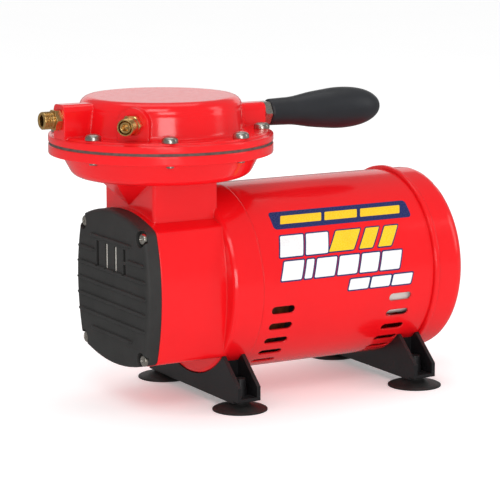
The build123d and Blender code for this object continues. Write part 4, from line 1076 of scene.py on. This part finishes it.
def label(sizes):
    """Generic label on the tube: a navy band with yellow bars in it, and rows of slanted bars."""
    layer = sizes.label_thickness / MM
    edge = sizes.label_outline / MM
    degree = radians(1) * TUBE_R
    band = [film(17.0, 140.0, 36.5, 49.0, 0.0, 3.0, 0.02, layer)]
    whites = [(18.0, 38.0, 19.0, 32.0, 4.0), (40.5, 60.0, 19.0, 32.0, 4.0)]
    for start, width in zip((17.0, 37.0, 46.0, 66.0, 86.0, 104.5), (17.5, 6.5, 17.5, 17.5, 16.0, 17.5)):
        whites.append((start, start + width, 5.0, 16.3, 4.0))
    whites += [(75.0 + 19.5 * k, 92.5 + 19.5 * k, -5.0, 1.6, 2.0) for k in range(3)]
    yellows = [(x0, x1, 19.5, 32.0, 10.0) for x0, x1 in ((64.0, 86.0), (91.0, 103.0), (108.0, 120.0))]
    stripes = [film(start, end, 39.8, 45.6, 3.0, 0.8, 0.02 + layer, layer)
               for start, end in ((25.0, 61.0), (64.0, 93.0), (96.0, 132.0))]
    backs = []
    for x0, x1, low, high, slant in whites + yellows:
        grow = edge / degree
        backs.append(film(x0 - edge, x1 + edge, low - grow, high + grow, slant * 1.1, 1.8, 0.02, layer))
    fronts = [film(*bar_shape, 1.0, 0.02 + layer, layer) for bar_shape in whites]
    bright = [film(*bar_shape, 0.8, 0.02 + layer, layer) for bar_shape in yellows]
    add_piece("label_navy_film", merged(band + backs), "red_paint", finish="label_navy")
    add_piece("label_yellow_film", merged(stripes + bright), "red_paint", finish="label_yellow")
    add_piece("label_white_film", merged(fronts), "red_paint", finish="label_white")


# Stage


def point_at(thing, target):
    direction = Vector(target) - thing.location
    thing.rotation_euler = direction.to_track_quat("-Z", "Y").to_euler()


def soft_light(name, place, target, width, height, power):
    """Rectangular soft box aimed at the object."""
    lamp = bpy.data.lights.new(name, "AREA")
    lamp.shape = "RECTANGLE"
    lamp.size, lamp.size_y, lamp.energy = width, height, power
    thing = bpy.data.objects.new(name, lamp)
    bpy.context.scene.collection.objects.link(thing)
    thing.location = place
    thing.visible_camera = False
    point_at(thing, target)


def floor_finish():
    white = (1.0, 1.0, 1.0, 1.0)
    glow = {"Specular IOR Level": 0.1, "Emission Color": white, "Emission Strength": FLOOR_GLOW}
    finish = Finish("Studio floor", glow)
    paper = finish.mottled((0.97, 0.97, 0.97), (0.955, 0.955, 0.96), 3.0, 0.5)
    mirrored = finish.tree.nodes.new("ShaderNodeLightPath").outputs["Is Glossy Ray"]
    finish.colour(finish.mixed(mirrored, paper, rgba((0.10, 0.10, 0.10))))
    skin_values = finish.effect("Grain", {"Scale": 60.0, "Low": 0.85, "High": 0.95})
    finish.roughness(skin_values["Roughness"])
    return finish.material


def studio_floor():
    bm = bmesh.new()
    bmesh.ops.create_grid(bm, x_segments=8, y_segments=8, size=6.0)
    mesh = bpy.data.meshes.new("studio_floor")
    bm.to_mesh(mesh)
    bm.free()
    mesh.materials.append(floor_finish())
    floor = bpy.data.objects.new("studio_floor", mesh)
    bpy.context.scene.collection.objects.link(floor)


def studio_camera():
    azimuth, elevation = radians(CAMERA_AZIMUTH), radians(CAMERA_ELEVATION)
    back = Vector((sin(azimuth) * cos(elevation), -cos(azimuth) * cos(elevation), sin(elevation)))
    target = TO_ROW @ Vector(CAMERA_TARGET)
    camera = bpy.data.objects.new("camera", bpy.data.cameras.new("camera"))
    bpy.context.scene.collection.objects.link(camera)
    camera.data.lens = CAMERA_LENS
    camera.data.sensor_width = 36.0
    camera.location = target + back * CAMERA_DISTANCE
    camera.rotation_mode = "QUATERNION"
    camera.rotation_quaternion = (-back).to_track_quat("-Z", "Y")
    bpy.context.scene.camera = camera


def studio_lights():
    world = bpy.data.worlds.new("studio")
    world.use_nodes = True
    tree = world.node_tree
    rays = tree.nodes.new("ShaderNodeLightPath").outputs
    backdrop = calc(tree, "MULTIPLY", rays["Is Camera Ray"], WORLD_SEEN - WORLD_DIFFUSE)
    mirrored = calc(tree, "MULTIPLY", rays["Is Glossy Ray"], WORLD_MIRRORED - WORLD_DIFFUSE)
    strength = calc(tree, "ADD", calc(tree, "ADD", backdrop, mirrored), WORLD_DIFFUSE)
    join(tree, tree.nodes["Background"], {"Color": (1.0, 1.0, 1.0, 1.0), "Strength": strength})
    bpy.context.scene.world = world
    centre = (0, 0, 0.12)
    dome = (0, 0, 0.23)
    soft_light("key", (-0.9, -1.3, 1.5), centre, 0.9, 0.7, 7.0)
    soft_light("side", (1.5, -0.9, 0.8), centre, 0.5, 1.1, 3.0)
    soft_light("top", (0.1, 0.3, 1.7), centre, 1.3, 0.9, 4.0)
    soft_light("front", (-0.79, -2.05, 0.25), centre, 0.85, 0.9, 12.0)
    soft_light("back", (0.79, 1.39, 0.6), dome, 2.2, 0.6, 2.4)
    bpy.context.scene.view_settings.view_transform = "Standard"


# Operators


class COMPRESSOR_OT_castings(bpy.types.Operator):
    """Give every carried-over node the finish of its slot."""
    bl_idname = "compressor.castings"
    bl_label = "Finish the castings and the inner pieces"

    def execute(self, context):
        for entry in frame["record"]["subparts"]:
            name = entry["node"]
            materials = frame["nodes"][name].data.materials
            materials.clear()
            materials.append(finish_for(OWN_FINISHES.get(name, entry["material_slot"])))
        return {"FINISHED"}


class COMPRESSOR_OT_front_cover(bpy.types.Operator):
    """Make the ribbed front cover with its slots and screws."""
    bl_idname = "compressor.front_cover"
    bl_label = "Front cover"

    def execute(self, context):
        front_cover(context.scene.compressor_sizes)
        return {"FINISHED"}


class COMPRESSOR_OT_filter_pad(bpy.types.Operator):
    """Make the felt pad behind the cover's slots."""
    bl_idname = "compressor.filter_pad"
    bl_label = "Filter pad"

    def execute(self, context):
        filter_pad()
        return {"FINISHED"}


class COMPRESSOR_OT_outlet_fitting(bpy.types.Operator):
    """Make the threaded brass outlet."""
    bl_idname = "compressor.outlet_fitting"
    bl_label = "Outlet fitting"

    def execute(self, context):
        outlet_fitting(context.scene.compressor_sizes)
        return {"FINISHED"}


class COMPRESSOR_OT_relief_valve(bpy.types.Operator):
    """Make the relief valve's body and its adjusting screw."""
    bl_idname = "compressor.relief_valve"
    bl_label = "Relief valve"

    def execute(self, context):
        relief_valve(context.scene.compressor_sizes)
        return {"FINISHED"}


class COMPRESSOR_OT_screws(bpy.types.Operator):
    """Make the screws of the head and of the legs."""
    bl_idname = "compressor.screws"
    bl_label = "Head and leg screws"

    def execute(self, context):
        head_screws(context.scene.compressor_sizes)
        leg_screws(context.scene.compressor_sizes)
        return {"FINISHED"}


class COMPRESSOR_OT_label(bpy.types.Operator):
    """Make the generic label on the motor tube."""
    bl_idname = "compressor.label"
    bl_label = "Label"

    def execute(self, context):
        label(context.scene.compressor_sizes)
        return {"FINISHED"}


class COMPRESSOR_OT_stage(bpy.types.Operator):
    """Make the floor, the lights and the camera."""
    bl_idname = "compressor.stage"
    bl_label = "Stage"

    def execute(self, context):
        studio_floor()
        studio_camera()
        studio_lights()
        return {"FINISHED"}


OPERATORS = (
    COMPRESSOR_OT_castings,
    COMPRESSOR_OT_front_cover,
    COMPRESSOR_OT_filter_pad,
    COMPRESSOR_OT_outlet_fitting,
    COMPRESSOR_OT_relief_valve,
    COMPRESSOR_OT_screws,
    COMPRESSOR_OT_label,
    COMPRESSOR_OT_stage,
)


class COMPRESSOR_PT_pieces(bpy.types.Panel):
    """Sizes, finishes and pieces of the compressor."""
    bl_idname = "COMPRESSOR_PT_pieces"
    bl_label = "Compressor"
    bl_space_type = "VIEW_3D"
    bl_region_type = "UI"
    bl_category = "Compressor"

    def draw(self, context):
        for settings in (context.scene.compressor_sizes, context.scene.compressor_finishes):
            column = self.layout.column()
            for name in settings.bl_rna.properties.keys():
                if name not in ("rna_type", "name"):
                    column.prop(settings, name)
        for operator in OPERATORS:
            self.layout.operator(operator.bl_idname)


CLASSES = (CompressorSizes, CompressorFinishes, *OPERATORS, COMPRESSOR_PT_pieces)


def register():
    for each in CLASSES:
        bpy.utils.register_class(each)
    bpy.types.Scene.compressor_sizes = PointerProperty(type=CompressorSizes)
    bpy.types.Scene.compressor_finishes = PointerProperty(type=CompressorFinishes)


def unregister():
    del bpy.types.Scene.compressor_finishes
    del bpy.types.Scene.compressor_sizes
    for each in reversed(CLASSES):
        bpy.utils.unregister_class(each)


def main():
    register()
    for operator in OPERATORS:
        group, name = operator.bl_idname.split(".")
        getattr(getattr(bpy.ops, group), name)()


if __name__ == "__main__":
    main()
